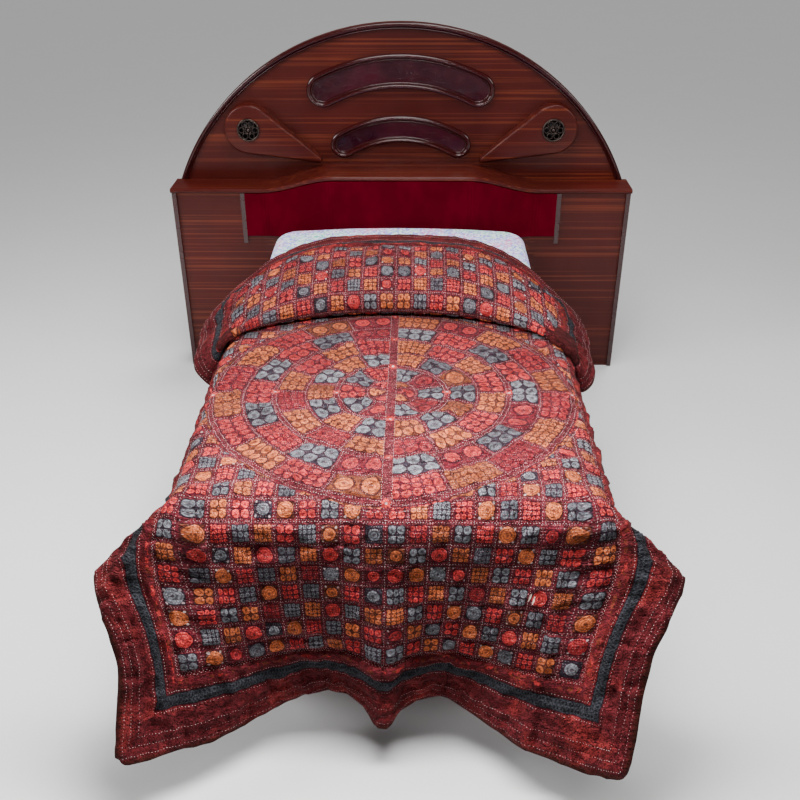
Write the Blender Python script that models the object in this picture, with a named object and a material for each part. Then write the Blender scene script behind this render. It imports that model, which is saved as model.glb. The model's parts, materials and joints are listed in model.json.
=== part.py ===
"""Printed quilted comforter draped on a plain single bed with an arched headboard.

Metres, +Z up. The head of the bed is toward +Y and its foot toward -Y. The drape is
worked out from the flat cloth: every point of the cloth has a place "across" (from the
middle seam) and "along" (from the middle of the print, the head positive). Heights in
the drape are above the mattress top and lengths from the foot edge of the mattress, and
both are moved into the shared frame when a node is written.
"""
import math

import bmesh
import bpy
import numpy as np

# shared frame
MATTRESS_TOP = 0.660
FRAME_Y = 0.8610
GAP = 0.0003
TINY = 1e-9

# mattress and bed
MATTRESS_HALF_WIDTH = 0.500
MATTRESS_LENGTH = 1.865
MATTRESS_THICK = 0.200
MATTRESS_ROUND = 0.038
MATTRESS_CORNER = 0.084
BASE_HALF_WIDTH = 0.465
BASE_INSET = 0.025
BASE_HEIGHT = 0.160
LEG_SIDE = 0.075
LEG_INSET = 0.030

# comforter, flat
CLOTH_HALF_WIDTH = 0.700
CLOTH_HALF_LENGTH = 1.085
CLOTH_THICK = 0.026
HEM_THICK = 0.008
PRINT_MIDDLE_Y = 0.492
CHANNEL_DEPTH = 0.42
CHANNEL_REACH = 0.011
HEM_REACH = 0.030
CHANNELS = (0.035, 0.070, 0.100, 0.130, 0.170)

# where the flat cloth is cut, measured from its hem
BORDER_LINES = (0.0, 0.012, 0.035, 0.052, 0.070, 0.085, 0.100, 0.115, 0.130, 0.150, 0.170)

# where it is cut to each side of the middle seam
FIELD_COLUMNS = (0.0, 0.030, 0.075, 0.125, 0.180, 0.240, 0.310, 0.385, 0.440, 0.462,
                 0.482, 0.506)

# where it is cut at the tuck, from its tip, and at the lip
TUCK_ROWS = (-0.034, -0.020, -0.010, 0.0, 0.010, 0.020, 0.034)
LIP_ROWS = (-0.012, 0.006, 0.022, 0.040, 0.062, 0.090)

# comforter, draped
EDGE_X = 0.462
EDGE_Y = 0.035
MID_HEIGHT = CLOTH_THICK / 2 + GAP
TURN_LEFT = 0.097
TURN_RIGHT = 0.113
TURN_FOOT = 0.125
FOOT_TILT = math.radians(77)
SIDE_TILT = math.radians(80)
WING_SIDE = (0.66, -0.36, -0.60)
WING_FOOT = (0.62, -0.50, -0.66)
WING_FROM = math.radians(39)
WING_TO = math.radians(54)
RIDGE_SOFT = 0.06
RIDGE_REACH = 0.25
TUCK_RADIUS = 0.0155
LIP_ALONG = 0.585
LIP_Y = 0.985
NARROW_LEFT = 0.143
NARROW_RIGHT = 0.226
NARROW_POWER = 1.4
LEAN_LEFT = 0.010
FLARE_LEFT = 0.034
FLARE_RIGHT = 0.056
FLARE_AT = 0.30
FLARE_SPAN = 0.18
WAIST_LEFT = 0.045
WAIST_RIGHT = 0.018
WAIST_AT = 0.68
WAIST_SPAN = 0.24
FLARE_FROM = 0.45
FLARE_FULL = 0.70
HEM_POWER = 2.4
CORNER_PULL_LEFT = 0.07
CORNER_PULL_RIGHT = 0.04
CORNER_FROM = 0.30
CORNER_FULL = 0.75
PULL_LEFT = 0.12
PULL_RIGHT = 0.14
PULL_AT = 0.45
PULL_END = 0.52
PULL_POWER = 2.2
SIDE_LAYER = 0.0217
LAYER_FROM = 0.03
LAYER_SPREAD = 0.08
RAISED_FROM = -0.02
RAISED_FULL = 0.09
DROP = CLOTH_HALF_LENGTH - (PRINT_MIDDLE_Y - EDGE_Y)

# slope of the raised head part, degrees above level, against cloth beyond the lip
LIP_SLOPE = (
    # beyond, slope
    (-0.018, 180),
    (0.008, 125),
    (0.028, 82),
    (0.050, 52),
    (0.085, 30),
    (0.125, 20),
    (0.175, 15),
    (0.225, 9),
    (0.270, 1),
    (0.310, -5),
    (0.500, -8),
)

# fall of the raised head part to each side, degrees below level, against the half width
CROWN_SLOPE = (
    # across, left, right
    (0.00, 0, 0),
    (0.18, 0, 0),
    (0.28, 7, 8),
    (0.36, 14, 16),
    (0.44, 23, 26),
    (0.52, 33, 38),
    (0.60, 43, 46),
    (0.70, 50, 50),
)

# how far the hem of the foot drop stands back from a straight fall
HEM_PLAY = (
    # across, back
    (-0.78, -0.105),
    (-0.60, -0.088),
    (-0.48, -0.066),
    (-0.39, -0.008),
    (-0.32, 0.042),
    (-0.24, 0.086),
    (-0.17, 0.102),
    (-0.11, 0.088),
    (-0.06, 0.048),
    (-0.015, -0.022),
    (0.015, -0.025),
    (0.050, 0.030),
    (0.100, 0.066),
    (0.150, 0.080),
    (0.200, 0.086),
    (0.260, 0.048),
    (0.340, -0.008),
    (0.450, -0.088),
    (0.600, -0.122),
    (0.780, -0.118),
)

# pillow
PILLOW_HALF_WIDTH = 0.400
PILLOW_DEPTH = 0.400
PILLOW_FRONT_LIFT = 0.072
PILLOW_LIFT_FROM = 0.035
PILLOW_LIFT_TO = 0.130
PILLOW_SET_BACK = 0.022
PILLOW_CLEAR = 0.0023
PILLOW_EDGE = 0.002
PILLOW_SEAM = 0.45
PILLOW_ROUND_X = 2.6
PILLOW_ROUND_Y = 4

# headboard
BOARD_FRONT_Y = 2.075
BOARD_THICK = 0.030
ARCH_HALF_WIDTH = 0.920
ARCH_FOOT = 0.148
ARCH_RISE = 0.617
RIM_WIDE = 0.026
RIM_PROUD = 0.016
BODY_HALF_WIDTH = 0.935
BODY_FRONT_Y = 1.945
LEDGE_LOW = 0.130
LEDGE_LIFT = 0.068
LEDGE_BOW = 0.055
LEDGE_THICK = 0.018
LEDGE_OVERHANG = 0.016
LEDGE_END = 0.004
WAVE_INNER = 0.270
WAVE_OUTER = 0.570
VELVET_HALF_WIDTH = 0.637
VELVET_BOTTOM = -0.053
VELVET_THICK = 0.014
VELVET_BEVEL = 0.003
STILE_WIDE = 0.018
STILE_THICK = 0.010
STILE_TAIL = 0.030
BEAN_MIDDLE = -0.107
BEAN_PLATE = 0.006
BEAN_RIM_WIDE = 0.012
BEAN_RIM_PROUD = 0.014
WING_X = 0.615
WING_HEIGHT = 0.362
WING_RADIUS = 0.098
WING_TIP_X = 0.325
WING_TIP_LOW = 0.228
WING_TIP_HIGH = 0.246
WING_THICK = 0.045
ROSETTE_RADIUS = 0.046
ROSETTE_THICK = 0.009
ROSETTE_PETALS = 8
ROSETTE_SCALLOP = 0.06

# bean shaped insets, bent about the middle of the arch
BEANS = (
    # name, radius, half height, end
    ("upper", 0.690, 0.0665, 0.310),
    ("lower", 0.463, 0.0540, 0.233),
)

# section of the rim moulding
RIM_SECTION = (
    # across, proud
    (0.00, 0.0),
    (0.00, 0.6),
    (0.25, 1.0),
    (0.75, 1.0),
    (1.00, 0.6),
    (1.00, 0.0),
)

# section of a rosette from its rim to its middle
ROSETTE_SECTION = (
    # outward, proud
    (1.00, 0.00),
    (1.00, 0.35),
    (0.86, 0.75),
    (0.60, 0.45),
    (0.34, 0.50),
    (0.22, 1.00),
    (0.08, 1.15),
)

# how finely curves are cut
SMALL = 0.002
TABLE_STEPS = 2400
CROWN_REACH = 0.75
CROWN_STEPS = 400
FLAT_ROWS = 9
BEND_ROWS = 8
DROP_ROWS = 7
HEAD_ROWS = 7
ARC_STEPS = 48
BEAN_STEPS = 20
END_STEPS = 12
WING_STEPS = 24
WAVE_STEPS = 10
LEDGE_STEPS = 6
PETAL_STEPS = 6
ROUND_STEPS = 5
PILLOW_COLUMNS = 24
PILLOW_ROWS = 14

COLOURS = {
    "printed_cloth": ((0.22, 0.055, 0.05), 0.90),
    "sheet_cloth": ((0.72, 0.72, 0.84), 0.85),
    "laminate": ((0.16, 0.035, 0.022), 0.35),
    "gloss_inset": ((0.045, 0.008, 0.015), 0.12),
    "dark_trim": ((0.06, 0.012, 0.010), 0.25),
    "velvet": ((0.20, 0.004, 0.012), 0.95),
    "bronze": ((0.05, 0.04, 0.035), 0.40),
}


def clear_scene():
    """Remove every object of the opening scene."""
    for item in list(bpy.data.objects):
        bpy.data.objects.remove(item, do_unlink=True)


def material(name):
    """Return the named Principled material."""
    colour, rough = COLOURS[name]
    found = bpy.data.materials.get(name)
    if found is None:
        found = bpy.data.materials.new(name)
        found.use_nodes = True
        shader = found.node_tree.nodes["Principled BSDF"]
        shader.inputs["Base Color"].default_value = (*colour, 1.0)
        shader.inputs["Roughness"].default_value = rough
        found.diffuse_color = (*colour, 1.0)
    return found


def add_node(name, points, faces, finish):
    """Write one closed body into the scene, moved into the shared frame."""
    mesh = bpy.data.meshes.new(name)
    moved = [(x, y - FRAME_Y, z + MATTRESS_TOP) for x, y, z in points]
    mesh.from_pydata(moved, [], faces)
    work = bmesh.new()
    work.from_mesh(mesh)
    bmesh.ops.recalc_face_normals(work, faces=work.faces)
    if work.calc_volume(signed=True) < 0:
        bmesh.ops.reverse_faces(work, faces=work.faces)
    work.to_mesh(mesh)
    work.free()
    node = bpy.data.objects.new(name, mesh)
    node.data.materials.append(material(finish))
    bpy.context.scene.collection.objects.link(node)
    return node


def skin(upper, lower):
    """Close two matching grids of points into one body."""
    rows, columns = upper.shape[:2]
    points = [tuple(p) for p in upper.reshape(-1, 3)]
    points += [tuple(p) for p in lower.reshape(-1, 3)]
    below = rows * columns
    faces = []
    for i in range(rows - 1):
        for j in range(columns - 1):
            a = i * columns + j
            b = a + columns
            faces.append((a, a + 1, b + 1, b))
            faces.append((below + a, below + b, below + b + 1, below + a + 1))
    ring = [j for j in range(columns)]
    ring += [i * columns + columns - 1 for i in range(1, rows)]
    ring += [(rows - 1) * columns + j for j in range(columns - 2, -1, -1)]
    ring += [i * columns for i in range(rows - 2, 0, -1)]
    for here, after in zip(ring, ring[1:] + ring[:1]):
        faces.append((here, below + here, below + after, after))
    return points, faces


def loft(sections):
    """Close a run of matching sections with a cap at each end."""
    count = len(sections[0])
    points = [p for section in sections for p in section]
    faces = [tuple(range(count))]
    for i in range(len(sections) - 1):
        for j in range(count):
            k = (j + 1) % count
            a = i * count
            b = a + count
            faces.append((a + j, a + k, b + k, b + j))
    last = (len(sections) - 1) * count
    faces.append(tuple(last + j for j in range(count - 1, -1, -1)))
    return points, faces


def plate(outline, back_y, front_y):
    """Return a flat body from an outline in x and z, between two depths."""
    back = [(x, back_y, z) for x, z in outline]
    front = [(x, front_y, z) for x, z in outline]
    return loft([back, front])


def frame_strip(outer, inner, back_y, front_y):
    """Return a closed ring of rectangular section between two outlines."""
    count = len(outer)
    points = []
    for depth in (back_y, front_y):
        points += [(x, depth, z) for x, z in outer]
        points += [(x, depth, z) for x, z in inner]
    faces = []
    for j in range(count):
        k = (j + 1) % count
        back_out, back_in = 0, count
        front_out, front_in = 2 * count, 3 * count
        faces.append((back_out + j, back_out + k, back_in + k, back_in + j))
        faces.append((front_out + j, front_in + j, front_in + k, front_out + k))
        faces.append((back_out + j, front_out + j, front_out + k, back_out + k))
        faces.append((back_in + j, back_in + k, front_in + k, front_in + j))
    return points, faces


def ease(low, high, value):
    """Smooth step from 0 at low to 1 at high."""
    part = np.clip((value - low) / (high - low), 0.0, 1.0)
    return part * part * (3.0 - 2.0 * part)


def lip_pull(across):
    """Distance the lip of the raised part is pulled toward the foot at the sides."""
    share = min(abs(across), PULL_END) / PULL_AT
    reach = PULL_LEFT if across < 0 else PULL_RIGHT
    return reach * share ** PULL_POWER


def head_profile(across):
    """Return lengths along the cloth with their y and height, and the tuck's tip."""
    lip_y = LIP_Y - lip_pull(across)
    tip = (PRINT_MIDDLE_Y + LIP_ALONG + lip_y) / 2 - PRINT_MIDDLE_Y
    half_turn = math.pi * TUCK_RADIUS / 2
    keys = [(-2 * CLOTH_HALF_LENGTH, 0.0), (tip - half_turn, 0.0), (tip + half_turn, 180.0)]
    keys += [(LIP_ALONG + beyond, slope) for beyond, slope in LIP_SLOPE]
    table = np.array(keys)
    along = np.linspace(-CLOTH_HALF_LENGTH, CLOTH_HALF_LENGTH, TABLE_STEPS)
    slope = np.radians(np.interp(along, table[:, 0], table[:, 1]))
    step = along[1] - along[0]
    run = np.cos(slope)
    rise = np.sin(slope)
    y = np.concatenate([[0.0], np.cumsum((run[1:] + run[:-1]) / 2) * step])
    z = np.concatenate([[0.0], np.cumsum((rise[1:] + rise[:-1]) / 2) * step])
    y += PRINT_MIDDLE_Y - np.interp(0.0, along, y)
    z += MID_HEIGHT - np.interp(0.0, along, z)
    return along, y, z, tip


def bend(length, tilt, turn):
    """Outward reach and drop of cloth that turns over an edge to a final tilt."""
    turned = np.clip(length / turn, 0.0, 1.0)
    reach = turn / tilt * np.sin(tilt * turned)
    drop = turn / tilt * (1.0 - np.cos(tilt * turned))
    rest = np.maximum(length - turn, 0.0)
    return reach + rest * np.cos(tilt), drop + rest * np.sin(tilt)


def between(start, end, share):
    """Turn one unit direction into another."""
    angle = math.acos(float(np.dot(start, end)))
    share = share[..., None]
    mixed = np.sin((1 - share) * angle) * start + np.sin(share * angle) * end
    return mixed / math.sin(angle)


def corner_direction(sweep):
    """Direction the cloth leaves a foot corner, from the side fall to the foot fall."""
    foot = np.array([0.0, -math.cos(FOOT_TILT), -math.sin(FOOT_TILT)])
    side = np.array([math.cos(SIDE_TILT), 0.0, -math.sin(SIDE_TILT)])
    wing_side = np.array(WING_SIDE) / np.linalg.norm(WING_SIDE)
    wing_foot = np.array(WING_FOOT) / np.linalg.norm(WING_FOOT)
    ridge = (WING_FROM + WING_TO) / 2
    first = between(side, wing_side, np.clip(sweep / WING_FROM, 0, 1))
    blunt = between(wing_side, wing_foot,
                    np.clip((sweep - WING_FROM) / (WING_TO - WING_FROM), 0, 1))
    last = between(wing_foot, foot, np.clip((sweep - WING_TO) / (math.pi / 2 - WING_TO), 0, 1))
    out = np.where((sweep < WING_FROM)[..., None], first, blunt)
    out = np.where((sweep > WING_TO)[..., None], last, out)
    soft = RIDGE_SOFT * np.exp(-(((sweep - ridge) / RIDGE_REACH) ** 2))[..., None]
    middle = (foot + side) / np.linalg.norm(foot + side)
    out = out * (1 - soft) + middle * soft
    return out / np.linalg.norm(out, axis=-1, keepdims=True)


def crown_table(column):
    """Reach and drop of the raised part against the distance across."""
    table = np.array(CROWN_SLOPE)
    across = np.linspace(0.0, CROWN_REACH, CROWN_STEPS)
    slope = np.radians(np.interp(across, table[:, 0], table[:, column]))
    step = across[1] - across[0]
    return across, np.cumsum(np.cos(slope)) * step, np.cumsum(np.sin(slope)) * step


def drape_column(across, along):
    """Middle surface of the cloth for one distance across and many along."""
    side = -1.0 if across < 0 else 1.0
    wide = abs(across)
    table, y_table, z_table, tip = head_profile(across)
    start = EDGE_Y - PRINT_MIDDLE_Y
    flat = np.maximum(along, start)
    y = np.interp(flat, table, y_table)
    height = np.interp(flat, table, z_table)
    over_side = np.full_like(along, max(wide - EDGE_X, 0.0))
    over_foot = np.maximum(start - along, 0.0)
    sweep = np.where(over_side <= 0, math.pi / 2, np.arctan2(over_foot, over_side + TINY))
    out = corner_direction(sweep)
    level = np.hypot(out[:, 0], out[:, 1])
    turn = TURN_LEFT if across < 0 else TURN_RIGHT
    turn = turn + (TURN_FOOT - turn) * sweep / (math.pi / 2)
    tilt = np.arctan2(-out[:, 2], level)
    reach, drop = bend(np.hypot(over_side, over_foot), tilt, turn)
    second = ease(0.0, LAYER_FROM, along - tip) * ease(0.0, LAYER_SPREAD, over_side)
    second = second * SIDE_LAYER
    x = min(wide, EDGE_X) + reach * out[:, 0] / level + second
    y = y + reach * out[:, 1] / level
    z = height - drop
    raised = ease(LIP_ALONG + RAISED_FROM, LIP_ALONG + RAISED_FULL, along)
    crown, crown_x, crown_z = crown_table(1 if across < 0 else 2)
    x = x * (1 - raised) + np.interp(wide, crown, crown_x) * raised
    z = z * (1 - raised) + (height - np.interp(wide, crown, crown_z)) * raised
    down = np.clip(over_foot / DROP, 0.0, 1.0)
    narrow = (NARROW_LEFT if across < 0 else NARROW_RIGHT) * down ** NARROW_POWER
    flare = FLARE_LEFT if across < 0 else FLARE_RIGHT
    flare = flare * np.exp(-(((down - FLARE_AT) / FLARE_SPAN) ** 2))
    waist = WAIST_LEFT if across < 0 else WAIST_RIGHT
    waist = waist * np.exp(-(((down - WAIST_AT) / WAIST_SPAN) ** 2))
    x = x * (1 - narrow) + (flare - waist) * float(ease(FLARE_FROM, FLARE_FULL, wide))
    x = side * x - LEAN_LEFT * down
    corner = CORNER_PULL_LEFT if across < 0 else CORNER_PULL_RIGHT
    corner = corner * float(ease(CORNER_FROM, CORNER_FULL, wide))
    y = y - corner * ease(LIP_ALONG, CLOTH_HALF_LENGTH, along)
    play = np.array(HEM_PLAY)
    y = y + np.interp(across, play[:, 0], play[:, 1]) * down ** HEM_POWER
    return np.stack([x, y, z], axis=-1)


def half_thickness(across, along):
    """Half the filled thickness, drawn in at the hem and at each sewn channel."""
    edge = np.minimum(CLOTH_HALF_WIDTH - abs(across), CLOTH_HALF_LENGTH - abs(along))
    full = HEM_THICK + (CLOTH_THICK - HEM_THICK) * np.sqrt(ease(0.0, HEM_REACH, edge))
    for line in CHANNELS:
        pinch = np.exp(-(((edge - line) / CHANNEL_REACH) ** 2))
        full = full * (1 - CHANNEL_DEPTH * pinch)
    return full / 2


def cloth_columns():
    """Distances across at which the cloth is cut."""
    right = list(FIELD_COLUMNS) + [CLOTH_HALF_WIDTH - v for v in reversed(BORDER_LINES)]
    return [-value for value in reversed(right[1:])] + right


def cloth_rows(across):
    """Distances along at which one column of the cloth is cut."""
    tip = head_profile(across)[3]
    rim = [CLOTH_HALF_LENGTH - line for line in BORDER_LINES]
    edge = EDGE_Y - PRINT_MIDDLE_Y
    bend_end = edge - TURN_FOOT
    turn = np.array(TUCK_ROWS) + tip
    lip = np.array(LIP_ROWS) + LIP_ALONG
    rows = [-value for value in rim[:-1]]
    rows += list(np.linspace(-rim[-1], bend_end, DROP_ROWS))[:-1]
    rows += list(np.linspace(bend_end, edge, BEND_ROWS))[:-1]
    rows += list(np.linspace(edge, turn[0], FLAT_ROWS))[:-1]
    rows += list(turn)
    rows += list(lip)
    rows += list(np.linspace(lip[-1], rim[-1], HEAD_ROWS))[1:]
    return np.array(rows + list(reversed(rim[:-1])))


def comforter():
    """Build the filled, quilted comforter."""
    upper = []
    lower = []
    for across in cloth_columns():
        along = cloth_rows(across)
        middle = drape_column(across, along)
        ahead = drape_column(across, along + SMALL) - drape_column(across, along - SMALL)
        right = drape_column(across + SMALL, along) - drape_column(across - SMALL, along)
        normal = np.cross(right, ahead)
        normal /= np.linalg.norm(normal, axis=1, keepdims=True)
        half = half_thickness(across, along)[:, None]
        upper.append(middle + normal * half)
        lower.append(middle - normal * half)
    add_node("comforter", *skin(np.array(upper), np.array(lower)), "printed_cloth")


def rounded_slab(half_x, low_y, high_y, low_z, high_z, radius, corner):
    """Return a box whose plan corners and upper and lower edges are rounded."""
    steps = ROUND_STEPS
    sections = []
    turns = [math.pi / 2 * i / steps for i in range(steps + 1)]
    levels = [(low_z + radius * (1 - math.sin(t)), radius * (1 - math.cos(t)))
              for t in reversed(turns)]
    levels += [(high_z - radius * (1 - math.sin(t)), radius * (1 - math.cos(t)))
               for t in turns]
    for height, inset in levels:
        ring = []
        for quarter, (sx, sy) in enumerate(((1, 1), (-1, 1), (-1, -1), (1, -1))):
            cx = sx * (half_x - corner)
            cy = high_y - corner if sy > 0 else low_y + corner
            for i in range(steps + 1):
                turn = math.pi / 2 * (quarter + i / steps)
                size = corner - inset
                ring.append((cx + size * math.cos(turn), cy + size * math.sin(turn), height))
        sections.append(ring)
    return loft(sections)


def box(low, high):
    """Return a plain box between two corners."""
    (x0, y0, z0), (x1, y1, z1) = low, high
    back = [(x0, y0, z0), (x1, y0, z0), (x1, y0, z1), (x0, y0, z1)]
    front = [(x0, y1, z0), (x1, y1, z0), (x1, y1, z1), (x0, y1, z1)]
    return loft([back, front])


def mattress():
    """Build the mattress in its plain sheet."""
    slab = rounded_slab(MATTRESS_HALF_WIDTH, 0.0, MATTRESS_LENGTH,
                        -MATTRESS_THICK, 0.0, MATTRESS_ROUND, MATTRESS_CORNER)
    add_node("mattress", *slab, "sheet_cloth")


def cloth_height(x, y):
    """Height of the middle of the raised part over one point of the mattress."""
    column = 1 if x < 0 else 2
    crown, crown_x, crown_z = crown_table(column)
    across = float(np.interp(abs(x), crown_x, crown)) * (-1 if x < 0 else 1)
    along, y_table, z_table, tip = head_profile(across)
    beyond = along > LIP_ALONG - RAISED_FROM
    height = float(np.interp(y, y_table[beyond], z_table[beyond]))
    return height - float(np.interp(abs(across), crown, crown_z)), tip


def pillow():
    """Build the plain pillow that lifts the head of the comforter."""
    upper = []
    lower = []
    for i in range(PILLOW_COLUMNS + 1):
        share = 2 * i / PILLOW_COLUMNS - 1
        x = PILLOW_HALF_WIDTH * math.sin(share * math.pi / 2)
        pinch = math.sqrt(max(1 - abs(x / PILLOW_HALF_WIDTH) ** PILLOW_ROUND_X, 0.0))
        front = cloth_height(x, LIP_Y)[1] + PRINT_MIDDLE_Y - PILLOW_SET_BACK
        row_up = []
        row_low = []
        for j in range(PILLOW_ROWS + 1):
            part = (1 - math.cos(math.pi * j / PILLOW_ROWS)) / 2
            y = front + PILLOW_DEPTH * part
            roof = cloth_height(x, y)[0] - CLOTH_THICK / 2 - PILLOW_CLEAR
            lift = 1 - float(ease(PILLOW_LIFT_FROM, PILLOW_LIFT_TO, y - front))
            floor = GAP + PILLOW_FRONT_LIFT * lift
            end = math.sqrt(max(1 - (2 * part - 1) ** PILLOW_ROUND_Y, 0.0))
            fill = max(pinch * end, 0.0)
            seam = floor + (roof - floor) * PILLOW_SEAM
            row_up.append((x, y, seam + (roof - seam) * fill + PILLOW_EDGE * (1 - fill)))
            row_low.append((x, y, seam + (floor - seam) * fill - PILLOW_EDGE * (1 - fill)))
        upper.append(row_up)
        lower.append(row_low)
    add_node("pillow", *skin(np.array(upper), np.array(lower)), "sheet_cloth")


def bed_base():
    """Build the plain platform and its four legs."""
    high = -MATTRESS_THICK - GAP
    low = high - BASE_HEIGHT
    far = BODY_FRONT_Y - LEDGE_BOW - GAP
    rail = box((-BASE_HALF_WIDTH, BASE_INSET, low), (BASE_HALF_WIDTH, far, high))
    add_node("bed_base", *rail, "laminate")
    x_out = BASE_HALF_WIDTH - LEG_INSET
    ends = (("foot", BASE_INSET + LEG_INSET), ("head", far - LEG_INSET - LEG_SIDE))
    for end, y in ends:
        for side, x in (("left", -x_out), ("right", x_out - LEG_SIDE)):
            leg = box((x, y, -MATTRESS_TOP), (x + LEG_SIDE, y + LEG_SIDE, low - GAP))
            add_node(f"bed_leg_{end}_{side}", *leg, "laminate")


def wave(x):
    """Share of the raised, bowed middle of the ledge."""
    return 1.0 - float(ease(WAVE_INNER, WAVE_OUTER, abs(x)))


def stations(half):
    """Distances across for the waved pieces."""
    inner = [s * half for s in (-1.0, 1.0)]
    reach = WAVE_OUTER - WAVE_INNER
    curve = [WAVE_INNER + reach * i / WAVE_STEPS for i in range(WAVE_STEPS + 1)]
    values = [v for v in curve if v < half]
    return sorted(set(inner + values + [-v for v in values] + [0.0]))


def headboard_body():
    """Build the low cabinet of the headboard, its velvet and its trims."""
    back = BOARD_FRONT_Y - GAP
    sections = []
    for x in stations(BODY_HALF_WIDTH):
        front = BODY_FRONT_Y - LEDGE_BOW * wave(x)
        top = LEDGE_LOW + LEDGE_LIFT * wave(x)
        sections.append([(x, front, -MATTRESS_TOP), (x, back, -MATTRESS_TOP),
                         (x, back, top), (x, front, top)])
    add_node("headboard_body", *loft(sections), "laminate")
    sections = []
    for x in stations(VELVET_HALF_WIDTH - GAP):
        front = BODY_FRONT_Y - LEDGE_BOW * wave(x) - GAP
        top = LEDGE_LOW + LEDGE_LIFT * wave(x)
        sections.append([(x, front - VELVET_THICK, VELVET_BOTTOM + VELVET_BEVEL),
                         (x, front, VELVET_BOTTOM), (x, front, top),
                         (x, front - VELVET_THICK, top - VELVET_BEVEL)])
    add_node("headboard_velvet", *loft(sections), "velvet")
    for side, sign in (("left", -1), ("right", 1)):
        near = sign * VELVET_HALF_WIDTH
        far = sign * (VELVET_HALF_WIDTH + STILE_WIDE)
        front = BODY_FRONT_Y - GAP
        trim = box((min(near, far), front - STILE_THICK, VELVET_BOTTOM - STILE_TAIL),
                   (max(near, far), front, LEDGE_LOW))
        add_node(f"headboard_stile_{side}", *trim, "dark_trim")
        near = sign * (BODY_HALF_WIDTH - STILE_WIDE)
        far = sign * BODY_HALF_WIDTH
        edge = box((min(near, far), front - STILE_THICK, -MATTRESS_TOP),
                   (max(near, far), front, LEDGE_LOW))
        add_node(f"headboard_edge_{side}", *edge, "dark_trim")


def headboard_ledge():
    """Build the waved ledge with its rounded front edge."""
    back = BOARD_FRONT_Y - GAP
    radius = LEDGE_THICK / 2
    sections = []
    for x in stations(BODY_HALF_WIDTH + LEDGE_END):
        front = BODY_FRONT_Y - LEDGE_BOW * wave(x) - LEDGE_OVERHANG
        low = LEDGE_LOW + LEDGE_LIFT * wave(x) + GAP
        ring = [(x, back, low + LEDGE_THICK), (x, back, low)]
        for i in range(LEDGE_STEPS + 1):
            turn = math.pi * i / LEDGE_STEPS
            y = front + radius * (1 - math.sin(turn))
            ring.append((x, y, low + radius * (1 - math.cos(turn))))
        sections.append(ring)
    add_node("headboard_ledge", *loft(sections), "laminate")


def arch_outline(inset, foot):
    """Outline of the arched board, drawn in by an inset and cut at a foot height."""
    radius = (ARCH_HALF_WIDTH ** 2 + ARCH_RISE ** 2) / (2 * ARCH_RISE)
    middle = ARCH_FOOT + ARCH_RISE - radius
    size = radius - inset
    half = ARCH_HALF_WIDTH - inset
    start = math.asin(half / size)
    arc = []
    for i in range(ARC_STEPS + 1):
        turn = start - 2 * start * i / ARC_STEPS
        arc.append((size * math.sin(turn), middle + size * math.cos(turn)))
    return [(-half, foot), (half, foot)] + arc


def headboard_arch():
    """Build the arched board and the moulded rim on its front."""
    back = BOARD_FRONT_Y + BOARD_THICK
    board = plate(arch_outline(0.0, -MATTRESS_TOP), back, BOARD_FRONT_Y)
    add_node("headboard_board", *board, "laminate")
    outer = arch_outline(0.0, 0.0)[2:]
    inner = arch_outline(RIM_WIDE, 0.0)[2:]
    foot = LEDGE_LOW + LEDGE_THICK + 2 * GAP
    front = BOARD_FRONT_Y - GAP
    sections = []
    for (xo, zo), (xi, zi) in zip(outer, inner):
        ring = []
        for share, proud in RIM_SECTION:
            x = xo + (xi - xo) * share
            z = max(zo + (zi - zo) * share, foot)
            ring.append((x, front - RIM_PROUD * proud, z))
        sections.append(ring)
    add_node("headboard_rim", *loft(sections), "dark_trim")


def bean_outline(radius, half_high, end_x):
    """Outline of a bean shaped panel bent about the arch's middle."""
    sweep = math.asin(end_x / radius)
    outline = []
    for side, size in ((1, radius + half_high), (-1, radius - half_high)):
        for i in range(BEAN_STEPS + 1):
            turn = side * sweep * (1 - 2 * i / BEAN_STEPS)
            outline.append((size * math.sin(turn), BEAN_MIDDLE + size * math.cos(turn)))
        tip_x = -side * radius * math.sin(sweep)
        tip_z = BEAN_MIDDLE + radius * math.cos(sweep)
        first = -sweep if side > 0 else sweep + math.pi
        for i in range(1, END_STEPS):
            turn = first - math.pi * i / END_STEPS
            outline.append((tip_x + half_high * math.sin(turn),
                            tip_z + half_high * math.cos(turn)))
    return outline


def headboard_beans():
    """Build the two bean shaped insets and their raised rims."""
    front = BOARD_FRONT_Y - GAP
    for name, radius, half_high, end_x in BEANS:
        outer = bean_outline(radius, half_high, end_x)
        inner = bean_outline(radius, half_high - BEAN_RIM_WIDE, end_x)
        field = bean_outline(radius, half_high - BEAN_RIM_WIDE - GAP, end_x)
        strip = frame_strip(outer, inner, front, front - BEAN_RIM_PROUD)
        add_node(f"inset_rim_{name}", *strip, "dark_trim")
        add_node(f"inset_{name}", *plate(field, front, front - BEAN_PLATE), "gloss_inset")


def wing_outline():
    """Outline of the right drop shaped wing."""
    points = []
    tips = ((WING_TIP_X, WING_TIP_HIGH), (WING_TIP_X, WING_TIP_LOW))
    angles = []
    for (tx, tz), sign in zip(tips, (1, -1)):
        dx = WING_X - tx
        dz = WING_HEIGHT - tz
        away = math.atan2(dz, dx)
        swing = math.acos(WING_RADIUS / math.hypot(dx, dz))
        angles.append(away + math.pi - sign * swing)
    start, end = angles
    if start < end:
        start += 2 * math.pi
    for i in range(WING_STEPS + 1):
        turn = start + (end - start) * i / WING_STEPS
        points.append((WING_X + WING_RADIUS * math.cos(turn),
                       WING_HEIGHT + WING_RADIUS * math.sin(turn)))
    return [tips[0]] + points + [tips[1]]


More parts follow.
